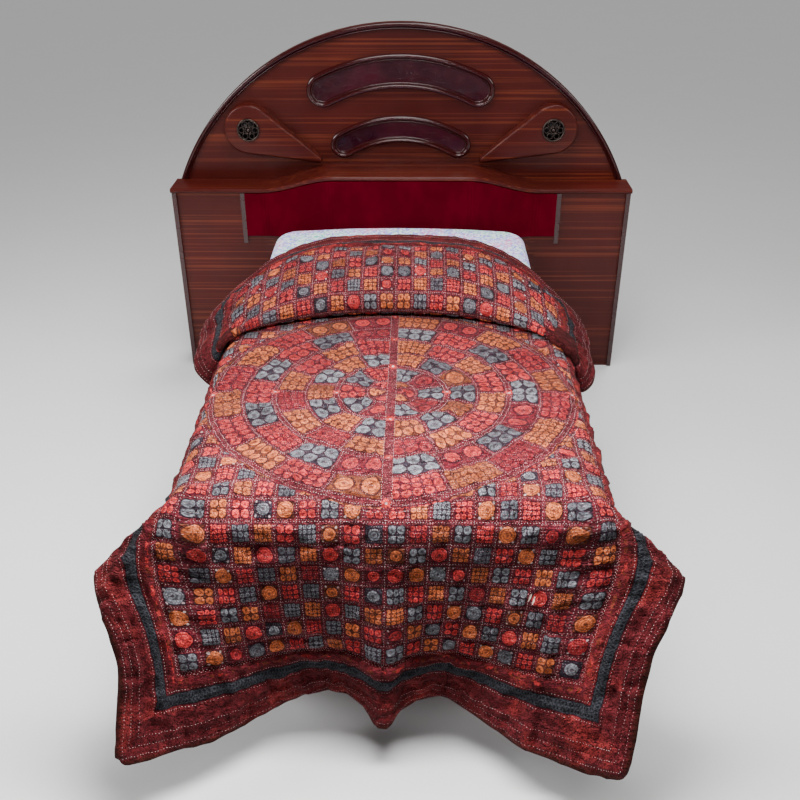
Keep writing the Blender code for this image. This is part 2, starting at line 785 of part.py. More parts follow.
def headboard_wings():
    """Build the drop shaped wings and their rosettes."""
    front = BOARD_FRONT_Y - GAP
    for side, sign in (("left", -1), ("right", 1)):
        outline = [(sign * x, z) for x, z in wing_outline()]
        add_node(f"headboard_wing_{side}", *plate(outline, front, front - WING_THICK),
                 "laminate")
        rose = []
        steps = ROSETTE_PETALS * PETAL_STEPS
        for i in range(steps):
            turn = 2 * math.pi * i / steps
            lobe = (1 - math.cos(ROSETTE_PETALS * turn)) * ROSETTE_SCALLOP
            size = ROSETTE_RADIUS * (1 - lobe)
            rose.append((sign * WING_X + size * math.cos(turn),
                         WING_HEIGHT + size * math.sin(turn)))
        base = front - WING_THICK - GAP
        sections = []
        for share, proud in ROSETTE_SECTION:
            ring = [(sign * WING_X + (x - sign * WING_X) * share,
                     base - ROSETTE_THICK * proud,
                     WING_HEIGHT + (z - WING_HEIGHT) * share) for x, z in rose]
            sections.append(ring)
        add_node(f"headboard_rosette_{side}", *loft(sections), "bronze")


def main():
    """Build every node of the part."""
    clear_scene()
    comforter()
    mattress()
    pillow()
    bed_base()
    headboard_body()
    headboard_ledge()
    headboard_arch()
    headboard_beans()
    headboard_wings()


main()
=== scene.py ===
"""Looks of a printed, hand quilted comforter draped on a single bed with an arched headboard.

Metres, +Z up. The comforter is worked out from its flat cloth: a point of the cloth has a
place "across" (from the middle seam) and "along" (from the middle of the round print, the
head positive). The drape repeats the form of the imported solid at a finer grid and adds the
puff between the quilting lines, creases, the print and the running stitches.
"""

import json
import logging
import math
from dataclasses import dataclass, field
from enum import Enum
from typing import Sequence

import bmesh
import bpy
import numpy as np
from bmesh.types import BMEdge, BMesh, BMFace
from bpy.types import ID, Material, Mesh, Node, NodeSocket, NodeTree, Object
from mathutils import Matrix, Vector


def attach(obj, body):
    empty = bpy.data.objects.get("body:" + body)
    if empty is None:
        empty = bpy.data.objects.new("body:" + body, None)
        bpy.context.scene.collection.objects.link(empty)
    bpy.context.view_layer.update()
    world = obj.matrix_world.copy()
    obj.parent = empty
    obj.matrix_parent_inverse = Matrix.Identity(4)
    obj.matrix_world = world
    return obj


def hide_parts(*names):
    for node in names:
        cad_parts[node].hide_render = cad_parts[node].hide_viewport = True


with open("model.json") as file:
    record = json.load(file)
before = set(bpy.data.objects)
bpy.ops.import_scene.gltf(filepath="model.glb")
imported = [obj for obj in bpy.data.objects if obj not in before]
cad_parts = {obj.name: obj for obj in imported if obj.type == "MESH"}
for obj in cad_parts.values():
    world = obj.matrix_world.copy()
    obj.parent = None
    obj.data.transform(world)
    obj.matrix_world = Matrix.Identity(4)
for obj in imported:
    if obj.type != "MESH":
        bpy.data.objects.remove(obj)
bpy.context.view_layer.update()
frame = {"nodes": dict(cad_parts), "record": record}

LOG = logging.getLogger("comforter_bed")
BODY = "root"
CLOTH_PLACE = "cloth_place"
TINY = 1e-9
# clear gap between solids, foot end of the mattress and its top, front of the arched board
GAP = 0.0003
FRAME_Y = 0.8610
BED_TOP = 0.660
BOARD_FACE = 2.075 - GAP - FRAME_Y
Pair = tuple[float, float]
Triple = tuple[float, float, float]
Rows = tuple[tuple[float, ...], ...]
Stops = tuple[tuple[float, Triple], ...]
Array = np.ndarray


class Slot(Enum):
    """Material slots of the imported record."""

    PRINTED = "printed_cloth"
    SHEET = "sheet_cloth"
    LAMINATE = "laminate"
    INSET = "gloss_inset"
    TRIM = "dark_trim"
    VELVET = "velvet"
    BRONZE = "bronze"


class Side(Enum):
    """Side of the bed seen from its foot, by the sign of x."""

    LEFT = -1
    RIGHT = 1

    @property
    def word(self) -> str:
        """The side as it stands in node names."""
        return self.name.lower()


# helpers for numbers and meshes


def ease(low: float, high: float, value: Array | float) -> Array | float:
    """Smooth step from 0 at low to 1 at high, falling where low is the larger."""
    part = np.clip((value - low) / (high - low), 0.0, 1.0)
    return part * part * (3.0 - 2.0 * part)


def dip(distance: Array | float, reach: float) -> Array | float:
    """Bell of height 1 that falls off over a reach."""
    return np.exp(-((distance / reach) ** 2))


def unit(vectors: Array) -> Array:
    """Vectors brought to length 1."""
    return vectors / (np.linalg.norm(vectors, axis=-1, keepdims=True) + TINY)


def rumple(x: Array, y: Array, seed: int) -> Array:
    """Seeded smooth noise from -1 to 1 with cells of size 1.

    Args:
        x: first place, in cells.
        y: second place, in cells.
        seed: number that picks the noise.

    Returns:
        Noise at each place.
    """
    size = 256
    lattice = np.random.default_rng(seed).uniform(-1.0, 1.0, (size, size))
    column = np.floor(x).astype(int)
    row = np.floor(y).astype(int)
    part_x = ease(0.0, 1.0, x - column)
    part_y = ease(0.0, 1.0, y - row)

    def corner(right: int, up: int) -> Array:
        """Lattice value at one corner of the cell."""
        return lattice[(column + right) % size, (row + up) % size]

    low = corner(0, 0) * (1 - part_x) + corner(1, 0) * part_x
    high = corner(0, 1) * (1 - part_x) + corner(1, 1) * part_x
    return low * (1 - part_y) + high * part_y


def add_object(name: str, data: ID) -> Object:
    """Put a mesh, lamp or camera into the scene.

    Args:
        name: name of the object.
        data: what it shows.

    Returns:
        The new object.
    """
    made = bpy.data.objects.new(name, data)
    bpy.context.scene.collection.objects.link(made)
    return made


def place_mesh(name: str, bm: BMesh, smooth: bool = True) -> Object:
    """Turn a bmesh into a named object at the origin.

    Args:
        name: name of the piece.
        bm: the finished bmesh, freed here.
        smooth: whether its faces shade smooth.

    Returns:
        The new object.
    """
    mesh = bpy.data.meshes.new(name)
    bm.to_mesh(mesh)
    bm.free()
    if smooth:
        mesh.shade_smooth()
    return add_object(name, mesh)


def points_of(mesh: Mesh) -> Array:
    """Places of the vertices, one row for each."""
    return np.array([vert.co[:] for vert in mesh.vertices])


def move_points(mesh: Mesh, points: Array) -> None:
    """Move the vertices to new places."""
    mesh.vertices.foreach_set("co", points.ravel())
    mesh.update()


def extruded(bm: BMesh, face: BMFace) -> BMFace:
    """Extrude a face and hand back the new one, still in its old place."""
    made = bmesh.ops.extrude_face_region(bm, geom=[face])["geom"]
    return next(part for part in made if isinstance(part, BMFace))


def clean(bm: BMesh, reach: float = 1e-5) -> None:
    """Merge the vertices that lie within a reach and point every face outwards."""
    bmesh.ops.remove_doubles(bm, verts=bm.verts[:], dist=reach)
    bmesh.ops.recalc_face_normals(bm, faces=bm.faces[:])


# helpers for materials


class Wire:
    """One output of a node tree, ready for arithmetic."""

    def __init__(self, graph: "Graph", socket: NodeSocket) -> None:
        """Keep the graph and the socket."""
        self.graph = graph
        self.socket = socket

    def __add__(self, other: "Value") -> "Wire":
        """Sum."""
        return self.graph.math("ADD", self, other)

    def __sub__(self, other: "Value") -> "Wire":
        """Difference."""
        return self.graph.math("SUBTRACT", self, other)

    def __rsub__(self, other: "Value") -> "Wire":
        """Difference."""
        return self.graph.math("SUBTRACT", other, self)

    def __mul__(self, other: "Value") -> "Wire":
        """Product."""
        return self.graph.math("MULTIPLY", self, other)

    def __truediv__(self, other: "Value") -> "Wire":
        """Quotient."""
        return self.graph.math("DIVIDE", self, other)


Value = Wire | float | Sequence[float]
Settings = tuple[tuple[str, Value], ...]


class Graph:
    """Builder of one node tree."""

    def __init__(self, tree: NodeTree) -> None:
        """Keep the tree that gets the nodes."""
        self.tree = tree

    def node(self, kind: str, inputs: dict[str | int, Value] | None = None,
             **settings: object) -> Node:
        """Add a node.

        Args:
            kind: Blender's name of the node type.
            inputs: values or wires by input name or number.
            **settings: properties of the node.

        Returns:
            The new node.
        """
        made = self.tree.nodes.new(kind)
        for key, value in settings.items():
            setattr(made, key, value)
        for key, value in (inputs or {}).items():
            self.plug(made.inputs[key], value)
        return made

    def plug(self, socket: NodeSocket, value: Value) -> None:
        """Join a wire to a socket, or set its plain value.

        Args:
            socket: input of a node.
            value: wire, number, colour or vector.
        """
        if isinstance(value, Wire):
            self.tree.links.new(value.socket, socket)
        elif socket.type == "RGBA":
            socket.default_value = (*value, 1.0)
        else:
            socket.default_value = value

    def out(self, node: Node, key: str | int = 0) -> Wire:
        """Wire from one output of a node."""
        return Wire(self, node.outputs[key])

    def math(self, operation: str, *values: Value) -> Wire:
        """Result of a Math node, by Blender's name of its operation."""
        return self.out(self.node("ShaderNodeMath", dict(enumerate(values)), operation=operation))

    def floor(self, value: Value) -> Wire:
        """Whole part."""
        return self.math("FLOOR", value)

    def size(self, value: Value) -> Wire:
        """Absolute value."""
        return self.math("ABSOLUTE", value)

    def larger(self, first: Value, second: Value) -> Wire:
        """Larger of two values."""
        return self.math("MAXIMUM", first, second)

    def smaller(self, first: Value, second: Value) -> Wire:
        """Smaller of two values."""
        return self.math("MINIMUM", first, second)

    def reach(self, first: Wire, second: Wire) -> Wire:
        """Length across two sides at a right angle."""
        return self.math("SQRT", first * first + second * second)

    def step(self, value: Value, low: Value, high: Value) -> Wire:
        """Smooth step from 0 at low to 1 at high, falling where low is the larger."""
        inputs = {"Value": value, "From Min": low, "From Max": high}
        return self.out(self.node("ShaderNodeMapRange", inputs, interpolation_type="SMOOTHSTEP"))

    def span(self, value: Value, low: float, high: float) -> Wire:
        """Bring a value from 0..1 to low..high."""
        return self.out(self.node("ShaderNodeMapRange",
                                  {"Value": value, "To Min": low, "To Max": high}))

    def band(self, value: Value, low: Value, high: Value, soft: float) -> Wire:
        """Mask between two limits with soft edges."""
        return (self.step(value, low - soft, low + soft)
                * self.step(value, high + soft, high - soft))

    def vector(self, x: Value, y: Value, z: Value = 0.0) -> Wire:
        """Vector of three values."""
        return self.out(self.node("ShaderNodeCombineXYZ", {0: x, 1: y, 2: z}))

    def split(self, vector: Wire) -> tuple[Wire, Wire, Wire]:
        """Three values of a vector."""
        made = self.node("ShaderNodeSeparateXYZ", {0: vector})
        return self.out(made, 0), self.out(made, 1), self.out(made, 2)

    def stretch(self, vector: Wire, scale: Triple) -> Wire:
        """Scale a vector by three numbers."""
        return self.out(self.node("ShaderNodeVectorMath", {0: vector, 1: scale},
                                  operation="MULTIPLY"))

    def place(self) -> Wire:
        """Object coordinates."""
        return self.out(self.node("ShaderNodeTexCoord"), "Object")

    def cloth(self) -> Wire:
        """Across, along and face of the cloth, from the piece's own attribute."""
        return self.out(self.node("ShaderNodeAttribute", attribute_name=CLOTH_PLACE), "Vector")

    def noise(self, vector: Value, scale: float = 1.0, detail: float = 2.0,
              rough: float = 0.5) -> Wire:
        """Smooth noise around 0.5, with its repeats per metre and its finer layers."""
        inputs = {"Vector": vector, "Scale": scale, "Detail": detail, "Roughness": rough}
        return self.out(self.node("ShaderNodeTexNoise", inputs), 0)

    def cells(self, vector: Value, scale: float, key: str = "Distance") -> Wire:
        """One output of Voronoi cells, with their number per metre."""
        return self.out(self.node("ShaderNodeTexVoronoi", {"Vector": vector, "Scale": scale}), key)

    def chance(self, vector: Wire) -> tuple[Wire, Wire, Wire]:
        """Three random values that stay the same for one vector."""
        made = self.node("ShaderNodeTexWhiteNoise", {"Vector": vector}, noise_dimensions="3D")
        return self.split(self.out(made, "Color"))

    def pick(self, share: Value, first: Value, second: Value) -> Wire:
        """Mix two numbers."""
        return self.out(self.node("ShaderNodeMix", {0: share, 2: first, 3: second},
                                  data_type="FLOAT"), 0)

    def paint(self, share: Value, first: Value, second: Value, kind: str = "MIX") -> Wire:
        """Lay a share of the second colour over the first, by Blender's name of the blend."""
        return self.out(self.node("ShaderNodeMix", {0: share, 6: first, 7: second},
                                  data_type="RGBA", blend_type=kind), 2)

    def shade(self, colour: Value, tone: Wire) -> Wire:
        """Multiply a colour by a tone."""
        return self.paint(1.0, colour, self.vector(tone, tone, tone), "MULTIPLY")

    def ramp(self, value: Value, stops: Stops, steps: bool = False) -> Wire:
        """Colour from a value.

        Args:
            value: place on the ramp.
            stops: positions with their colours.
            steps: whether the colour jumps at each stop.

        Returns:
            The colour.
        """
        made = self.node("ShaderNodeValToRGB", {0: value})
        band = made.color_ramp
        band.interpolation = "CONSTANT" if steps else "LINEAR"
        while len(band.elements) < len(stops):
            band.elements.new(1.0)
        for element, (position, colour) in zip(band.elements, stops):
            element.position = position
            element.color = (*colour, 1.0)
        return self.out(made)

    def bump(self, height: Wire, depth: float) -> Wire:
        """Normal from a height of about 0 to 1 that stands for a depth in metres."""
        return self.out(self.node("ShaderNodeBump", {"Height": height, "Distance": depth}))

    def use(self, group: NodeTree, **values: Value) -> Node:
        """Place a shared group with its values by name."""
        return self.node("ShaderNodeGroup", values, node_tree=group)


class Effects:
    """Shader node groups that several finishes share."""

    def __init__(self) -> None:
        """Build the groups."""
        self.weave = self.plain_weave()
        self.tone = self.cloudy_tone()
        self.streaks = self.wood_streaks()
        self.handling = self.handled_gloss()

    def begin(self, name: str, values: Sequence[str],
              results: Sequence[str]) -> tuple[Graph, list[Wire], Node]:
        """Start a group that reads a place.

        Args:
            name: name of the group.
            values: names of its plain values.
            results: names of what it gives.

        Returns:
            Its graph, wires of the place and of each value, and its output node.
        """
        tree = bpy.data.node_groups.new(name, "ShaderNodeTree")
        tree.interface.new_socket(name="Place", in_out="INPUT", socket_type="NodeSocketVector")
        for labels, way in ((values, "INPUT"), (results, "OUTPUT")):
            for label in labels:
                tree.interface.new_socket(name=label, in_out=way, socket_type="NodeSocketFloat")
        graph = Graph(tree)
        start = graph.node("NodeGroupInput")
        wires = [graph.out(start, label) for label in ("Place", *values)]
        return graph, wires, graph.node("NodeGroupOutput")

    def plain_weave(self) -> NodeTree:
        """Plain weave with slubs.

        Returns:
            Group with Place and Pitch, giving Height and Shade.
        """
        graph, (place, pitch), end = self.begin("plain weave", ("Pitch",), ("Height", "Shade"))
        x, y, _ = graph.split(place)
        warp, weft = (graph.math("SINE", way * math.pi / pitch) for way in (x, y))
        over = warp * weft
        slub = graph.noise(place, 420.0)
        graph.plug(end.inputs["Height"], over * 0.35 + 0.5 + (slub - 0.5) * 0.6)
        graph.plug(end.inputs["Shade"], graph.span(over * 0.5 + 0.5, 0.93, 1.0))
        return graph.tree

    def cloudy_tone(self) -> NodeTree:
        """Cloudy change of tone.

        Returns:
            Group with Place, Scale, Low and High, giving Tone.
        """
        graph, (place, scale, low, high), end = self.begin(
            "cloudy tone", ("Scale", "Low", "High"), ("Tone",))
        share = graph.step(graph.noise(place, scale, 3.0, 0.6), 0.3, 0.7)
        graph.plug(end.inputs["Tone"], graph.pick(share, low, high))
        return graph.tree

    def wood_streaks(self) -> NodeTree:
        """Long level streaks of a wood print, also on the faces that look sideways.

        Returns:
            Group with Place, giving Streak and Pore.
        """
        graph, (place,), end = self.begin("wood streaks", (), ("Streak", "Pore"))
        facing, _, _ = graph.split(graph.out(graph.node("ShaderNodeNewGeometry"), "True Normal"))
        sideways = graph.step(graph.size(facing), 0.65, 0.75)
        x, y, z = graph.split(place)
        level = graph.vector(graph.pick(sideways, x, y), graph.pick(sideways, y, x), z)
        wide = graph.noise(graph.stretch(level, (0.45, 95.0, 95.0)))
        fine = graph.noise(graph.stretch(level, (1.6, 420.0, 420.0)))
        graph.plug(end.inputs["Streak"], graph.step(wide * 0.7 + fine * 0.3, 0.50, 0.66))
        pore = graph.noise(graph.stretch(level, (5.0, 700.0, 700.0)), detail=1.0)
        graph.plug(end.inputs["Pore"], graph.step(pore, 0.58, 0.78))
        return graph.tree

    def handled_gloss(self) -> NodeTree:
        """Smudges and dulled patches of a polished face.

        Returns:
            Group with Place, Gloss and Dull, giving Roughness.
        """
        graph, (place, gloss, dull), end = self.begin(
            "handled gloss", ("Gloss", "Dull"), ("Roughness",))
        cloud = graph.noise(place, 9.0, 4.0, 0.65)
        scuff = graph.noise(graph.stretch(place, (14.0, 60.0, 60.0)), detail=3.0)
        share = graph.step(cloud * 0.7 + scuff * 0.3, 0.36, 0.70)
        graph.plug(end.inputs["Roughness"], graph.pick(share, gloss, dull))
        return graph.tree


class Coat(Graph):
    """Graph of one material, with its shader and the shared effects."""

    def __init__(self, tree: NodeTree, effects: Effects) -> None:
        """Start with a plain shader.

        Args:
            tree: tree of the material.
            effects: shared groups.
        """
        super().__init__(tree)
        self.effects = effects
        self.shader = self.node("ShaderNodeBsdfPrincipled")
        self.node("ShaderNodeOutputMaterial", {0: self.out(self.shader)})

    def give(self, name: str, value: Value) -> None:
        """Feed one input of the shader."""
        self.plug(self.shader.inputs[name], value)

    def weave(self, place: Wire, pitch: float) -> tuple[Wire, Wire]:
        """Height and shade of a plain weave, with the pitch of its threads."""
        made = self.use(self.effects.weave, Place=place, Pitch=pitch)
        return self.out(made, "Height"), self.out(made, "Shade")

    def streaks(self, place: Wire) -> tuple[Wire, Wire]:
        """Streaks and pores of the wood print."""
        made = self.use(self.effects.streaks, Place=place)
        return self.out(made, "Streak"), self.out(made, "Pore")

    def tone(self, place: Wire, scale: float, low: float, high: float) -> Wire:
        """Cloudy tone between two limits, with its repeats per metre."""
        return self.out(self.use(self.effects.tone, Place=place, Scale=scale, Low=low, High=high))

    def polish(self, place: Wire, gloss: float, dull: float) -> None:
        """Give the roughness of a handled face, between its best and its dullest."""
        handled = self.use(self.effects.handling, Place=place, Gloss=gloss, Dull=dull)
        self.give("Roughness", self.out(handled))


@dataclass(frozen=True)
class Finish:
    """What every finish has, with the plain settings of its shader."""

    name: str
    base: Triple
    rough: float
    settings: Settings = ()

    def dress(self, effects: Effects) -> Material:
        """Build the material.

        Args:
            effects: shared groups.

        Returns:
            The finished material.
        """
        material = bpy.data.materials.new(self.name)
        material.use_nodes = True
        material.node_tree.nodes.clear()
        coat = Coat(material.node_tree, effects)
        for name, value in (("Base Color", self.base), ("Roughness", self.rough), *self.settings):
            coat.give(name, value)
        self.lay(coat)
        return material

    def lay(self, coat: Coat) -> None:
        """Lay on what the plain settings don't give."""


class Family(Enum):
    """The three colours of the printed patches: ground and motif."""

    GREY = ((0.028, 0.028, 0.040), (0.190, 0.200, 0.222))
    RED = ((0.165, 0.012, 0.020), (0.66, 0.046, 0.044))
    ORANGE = ((0.195, 0.046, 0.018), (0.72, 0.165, 0.052))


@dataclass(frozen=True)
class Layout:
    """Traditional layout of the print: squares, a round of wedge patches and a border."""

    half_width: float = 0.700
    half_length: float = 1.085
    pitch: float = 0.053
    columns: int = 10
    row_edge: float = 0.915
    rows: int = 17
    lane: float = 0.0054
    round_radius: float = 0.515
    ring_start: float = 0.155
    ring_step: float = 0.0865
    ring_count: int = 4
    core_rings: int = 2
    core_parts: int = 7
    ring_lane: float = 0.0050
    ring_gap: float = 0.0170
    middle_lane: float = 0.0125

    @property
    def field_half(self) -> float:
        """Half width of the squares."""
        return self.pitch * self.columns

    def parts(self, ring: int) -> int:
        """Number of wedge patches in one half of a ring."""
        return self.core_parts + ring + min(ring, 0)

    def ring_radius(self, ring: int) -> float:
        """Inner radius of a ring."""
        return self.ring_start + self.ring_step * ring


class Drawing:
    """The block print, worked out at the shaded point of the cloth."""

    def __init__(self, cotton: "PrintedCotton", graph: Graph) -> None:
        """Find the point's place on the cloth.

        Args:
            cotton: colours and sizes of the print.
            graph: graph of the material.
        """
        self.cotton = cotton
        self.graph = graph
        self.plan = cotton.layout
        self.cloth = graph.cloth()
        self.across, self.along, self.face = graph.split(self.cloth)
        drift, wobble = (graph.noise(self.cloth, scale) for scale in cotton.play_scales)
        self.wide = graph.size(self.across) + (drift - 0.5) * cotton.play
        self.length = graph.size(self.along) + (wobble - 0.5) * cotton.play
        self.radius = graph.reach(self.wide, self.along)
        self.hem = graph.smaller(self.plan.half_width - self.wide,
                                 self.plan.half_length - self.length)
        self.needle = graph.step(graph.cells(self.cloth, cotton.needle_scale), 0.44, 0.20)

    def torn(self) -> Wire:
        """Two small tears of the cover where pale filling shows.

        Returns:
            Mask of the filling.
        """
        tears = []
        for across, along, lean in self.cotton.tufts:
            rise = self.along - along
            side = (self.across - across - rise * lean) / self.cotton.tuft_wide
            reach = self.graph.reach(side, rise / self.cotton.tuft_long)
            tears.append(self.graph.step(reach, 1.0, 0.7))
        return self.graph.larger(*tears)

    def running_rows(self) -> Wire:
        """Faint rows of tiny quilting stitches all over the cloth.

        Returns:
            Mask of the thread that shows.
        """
        graph = self.graph
        rows = self.along / (self.plan.pitch / self.cotton.rows_per_pitch)
        near = graph.size(graph.math("FRACT", rows) - 0.5)
        dash = graph.math("FRACT", self.across / self.cotton.row_period + graph.floor(rows) * 0.37)
        worn = graph.step(graph.noise(self.cloth, 60.0), 0.42, 0.60)
        return graph.step(near, 0.16, 0.08) * graph.step(dash, 0.44, 0.34) * worn * 0.40

    def patches(self) -> tuple[Wire, Wire]:
        """Colour of the squares and of the round, with their motifs.

        Returns:
            Colour and mask of the raised print.
        """
        graph, plan, cotton = self.graph, self.plan, self.cotton
        u = self.wide / plan.pitch
        v = (plan.row_edge - self.length) / plan.pitch
        column, row = graph.floor(u), graph.floor(v)
        square_half = plan.pitch / 2 - plan.lane
        turn = graph.math("ARCTAN2", self.along, graph.larger(self.wide, 0.0001))
        turn = turn / math.pi + 0.5
        ring = graph.floor((self.radius - plan.ring_start) / plan.ring_step)
        parts = ring + graph.smaller(ring, 0.0) + float(plan.core_parts)
        wedge = graph.floor(turn * parts)
        arc = self.radius * math.pi / parts
        middle_arc = ((ring + 0.5) * plan.ring_step + plan.ring_start) * math.pi / parts
        even = graph.math("COMPARE", graph.math("FLOORED_MODULO", ring, 2.0), 0.0, 0.1)
        middle = (even - 0.5) * (plan.ring_gap - plan.ring_lane * 2) / 2
        wedge_y = self.radius - plan.ring_start - (ring + 0.5) * plan.ring_step - middle
        wedge_half = (plan.ring_step - plan.ring_lane - plan.ring_gap / 2) / 2
        within = graph.math("LESS_THAN", self.radius, plan.round_radius)
        x = graph.pick(within, (u - column - 0.5) * plan.pitch, (turn * parts - wedge - 0.5) * arc)
        y = graph.pick(within, (v - row - 0.5) * plan.pitch, wedge_y)
        half_x = graph.pick(within, square_half, arc * 0.5 - plan.ring_lane)
        half_y = graph.pick(within, square_half, wedge_half)
        left = graph.math("LESS_THAN", self.across, 0.0)
        turned = graph.math("FLOORED_MODULO", wedge + left, 2.0)
        outwards = (ring + (plan.core_rings + 0.5)) / len(cotton.rings)
        pair = graph.split(graph.ramp(outwards, self.spread(cotton.rings), steps=True))
        round_family = graph.pick(turned, pair[0], pair[1])
        square_family = graph.math("FLOORED_MODULO", column + row, 3.0) / 3.0 + 1 / 6
        family = graph.pick(within, square_family, round_family)
        first = graph.pick(within, column, wedge)
        second = graph.pick(within, row, ring * 2.0 + 20.0)
        seed = graph.vector(first, second + graph.math("SIGN", self.along) * 0.4, left)
        chance = graph.chance(seed)
        aspect = graph.pick(within, 1.0, (middle_arc * 0.5 - plan.ring_lane) / wedge_half)
        grey = graph.math("LESS_THAN", round_family, 1 / 3)
        netted = graph.pick(grey, chance[0] * 0.62 + 0.38, 0.30)
        kind = graph.pick(within, chance[0], netted)
        mask, motif, dark, pips = self.motif((x, y), (half_x, half_y), aspect, kind, chance[1])
        ground, light = (graph.ramp(family, self.spread(layer), steps=True)
                         for layer in zip(*(member.value for member in Family)))
        dim = graph.math("POWER", chance[2], 1.6) * 0.62 + within * (1.0 - grey) * 0.26
        light = graph.paint(dim, light, ground)
        shaded = graph.paint(dark, graph.paint(motif, ground, light), cotton.outline)
        shaded = graph.paint(pips * (1.0 - within) * 0.8, shaded, cotton.thread)
        centre = graph.math("LESS_THAN", self.radius, plan.round_radius + 0.008)
        centre = centre * graph.step(self.wide, plan.middle_lane + cotton.soft,
                                     plan.middle_lane - cotton.soft)
        shown = mask * (1.0 - centre)
        colour = graph.paint(shown, self.lane_colour(), shaded)
        bud, eye = self.buds()
        colour = graph.paint(eye, graph.paint(bud, colour, cotton.bud), cotton.thread)
        return colour, motif * shown

    def spread(self, colours: Sequence[Triple]) -> Stops:
        """Evenly spaced stops."""
        return tuple((index / len(colours), colour) for index, colour in enumerate(colours))

    def buds(self) -> tuple[Wire, Wire]:
        """Small red flowers where the wide lanes of the round cross the two axes.

        Returns:
            Masks of the flowers and of their white eyes.
        """
        graph, plan = self.graph, self.plan
        lane = (self.radius - plan.ring_start) / (plan.ring_step * 2)
        off = (lane - graph.math("ROUND", lane)) * plan.ring_step * 2
        axis = graph.smaller(self.wide, graph.size(self.along))
        reach = graph.reach(off, axis)
        petal = graph.math("SINE", graph.math("ARCTAN2", off, axis) * 6.0) * self.cotton.petal
        inside = graph.math("LESS_THAN", self.radius, plan.round_radius + 0.02)
        bud = graph.step(reach + petal, *self.cotton.bud_edge) * inside
        return bud, graph.step(reach, *self.cotton.eye_edge) * inside

    def lane_colour(self) -> Wire:
        """Mauve ground between the patches, with faint sprigs.

        Returns:
            Colour of the lanes.
        """
        sprig = self.graph.cells(self.graph.vector(self.across, self.along), 170.0)
        light = self.graph.step(sprig, 0.40, 0.18) * 0.75
        return self.graph.paint(light, self.cotton.lane, self.cotton.lane_light)

    def motif(self, place: tuple[Wire, Wire], half: tuple[Wire, Wire], aspect: Wire,
              kind: Wire, chance: Wire) -> tuple[Wire, ...]:
        """Drawn discs inside one patch.

        Args:
            place: place from the middle of the patch.
            half: half width and height of the patch.
            aspect: width of the patch over its height.
            kind: value that picks the motif.
            chance: random value that varies it.

        Returns:
            Masks of the patch, the discs, the dark lines and the pips.
        """
        graph, cotton = self.graph, self.cotton
        out_x, out_y = (graph.size(way) - limit + cotton.corner for way, limit in zip(place, half))
        edge = graph.reach(graph.larger(out_x, 0.0), graph.larger(out_y, 0.0)) - cotton.corner
        edge = edge + graph.smaller(graph.larger(out_x, out_y), 0.0)
        mask = graph.step(edge, cotton.soft, -cotton.soft)
        rim = graph.step(edge, *cotton.rim_edge)
        repeats, stretch, size = graph.split(graph.ramp(kind, cotton.motifs, steps=True))
        rows = graph.math("ROUND", repeats * 8.0)
        columns = graph.larger(graph.math("ROUND", rows * stretch * 2.0 * aspect), 1.0)
        near_x, near_y = (graph.math("FRACT", (way / limit * 0.5 + 0.5) * count) * 2.0 - 1.0
                          for way, limit, count in zip(place, half, (columns, rows)))
        disc = graph.reach(near_x, near_y)
        soft = rows * 0.045
        motif = graph.step(disc, size + soft, size - soft)
        one = graph.math("COMPARE", rows, 1.0, 0.1)
        swirl = graph.math("SINE", disc * graph.pick(one, 7.4, 19.0))
        eye = graph.step(disc, 0.24, 0.12)
        gap = graph.band(disc, size + 0.02, size + 0.20, 0.05)
        dark = graph.larger(eye * 0.70, graph.step(swirl, 0.0, 0.8) * 0.40)
        dark = graph.larger(graph.larger(dark, gap * 0.70), rim * 0.80)
        corner = graph.reach(graph.size(near_x) - 0.74, graph.size(near_y) - 0.74)
        pips = graph.step(corner, 0.17, 0.08) * one * graph.math("GREATER_THAN", chance, 0.6)
        return mask, motif, dark, pips

    def leaves(self, run: Wire) -> Wire:
        """Two interlaced chains of leaf outlines along the dark stripe.

        Args:
            run: place along the stripe.

        Returns:
            Mask of the outlines.
        """
        graph = self.graph
        low, high = self.cotton.stripe_edges
        off = (self.hem - (low + high) / 2) / ((high - low) / 2)
        chains = []
        for shift in (0.0, 0.5):
            turn = graph.math("FRACT", run / self.cotton.leaf + shift) * 2.0 - 1.0
            reach = graph.reach(turn, off * 0.95)
            chains.append(graph.larger(graph.band(reach, 0.60, 0.86, 0.08),
                                       graph.step(reach, 0.24, 0.12)))
        return graph.larger(*chains)

    def border_colours(self) -> Wire:
        """Border of the print around the patches, with painted highlights on it.

        Returns:
            Colour of the border.
        """
        graph, plan, cotton = self.graph, self.plan, self.cotton
        colour = graph.paint(self.needle * 0.75, cotton.border_light, cotton.border)
        # broad lighter red patches: print strokes and painted highlights of lit folds
        broad = graph.noise(self.cloth, 8.0, 3.0, 0.62)
        stroke = graph.step(broad, 0.48, 0.66) * graph.step(self.needle, 0.9, 0.2) * 0.60
        colour = graph.paint(stroke, colour, cotton.stroke)
        chip, _, _ = graph.split(graph.cells(self.cloth, 95.0, "Color"))
        chips = graph.ramp(chip, ((0.0, cotton.lane), (0.45, Family.RED.value[0]),
                                  (0.66, Family.ORANGE.value[0]),
                                  (0.84, Family.RED.value[1])), steps=True)
        rail = graph.band(self.hem, *cotton.rail, cotton.rail_soft)
        colour = graph.paint(rail * 0.5, colour, chips)
        beside = graph.math("LESS_THAN", plan.half_width - self.wide,
                            plan.half_length - self.length)
        run = graph.pick(beside, self.across, self.along)
        lace = graph.paint(self.leaves(run), cotton.stripe, cotton.stripe_light)
        stripe = graph.band(self.hem, *cotton.stripe_edges, cotton.soft)
        colour = graph.paint(stripe, colour, lace)
        for edge in cotton.stripe_edges:
            line = graph.band(self.hem, edge - cotton.soft, edge + cotton.soft, cotton.soft)
            colour = graph.paint(line * 0.7, colour, cotton.outline)
        return graph.paint(graph.step(self.hem, *cotton.hem_edge) * 0.8, colour, cotton.hem)


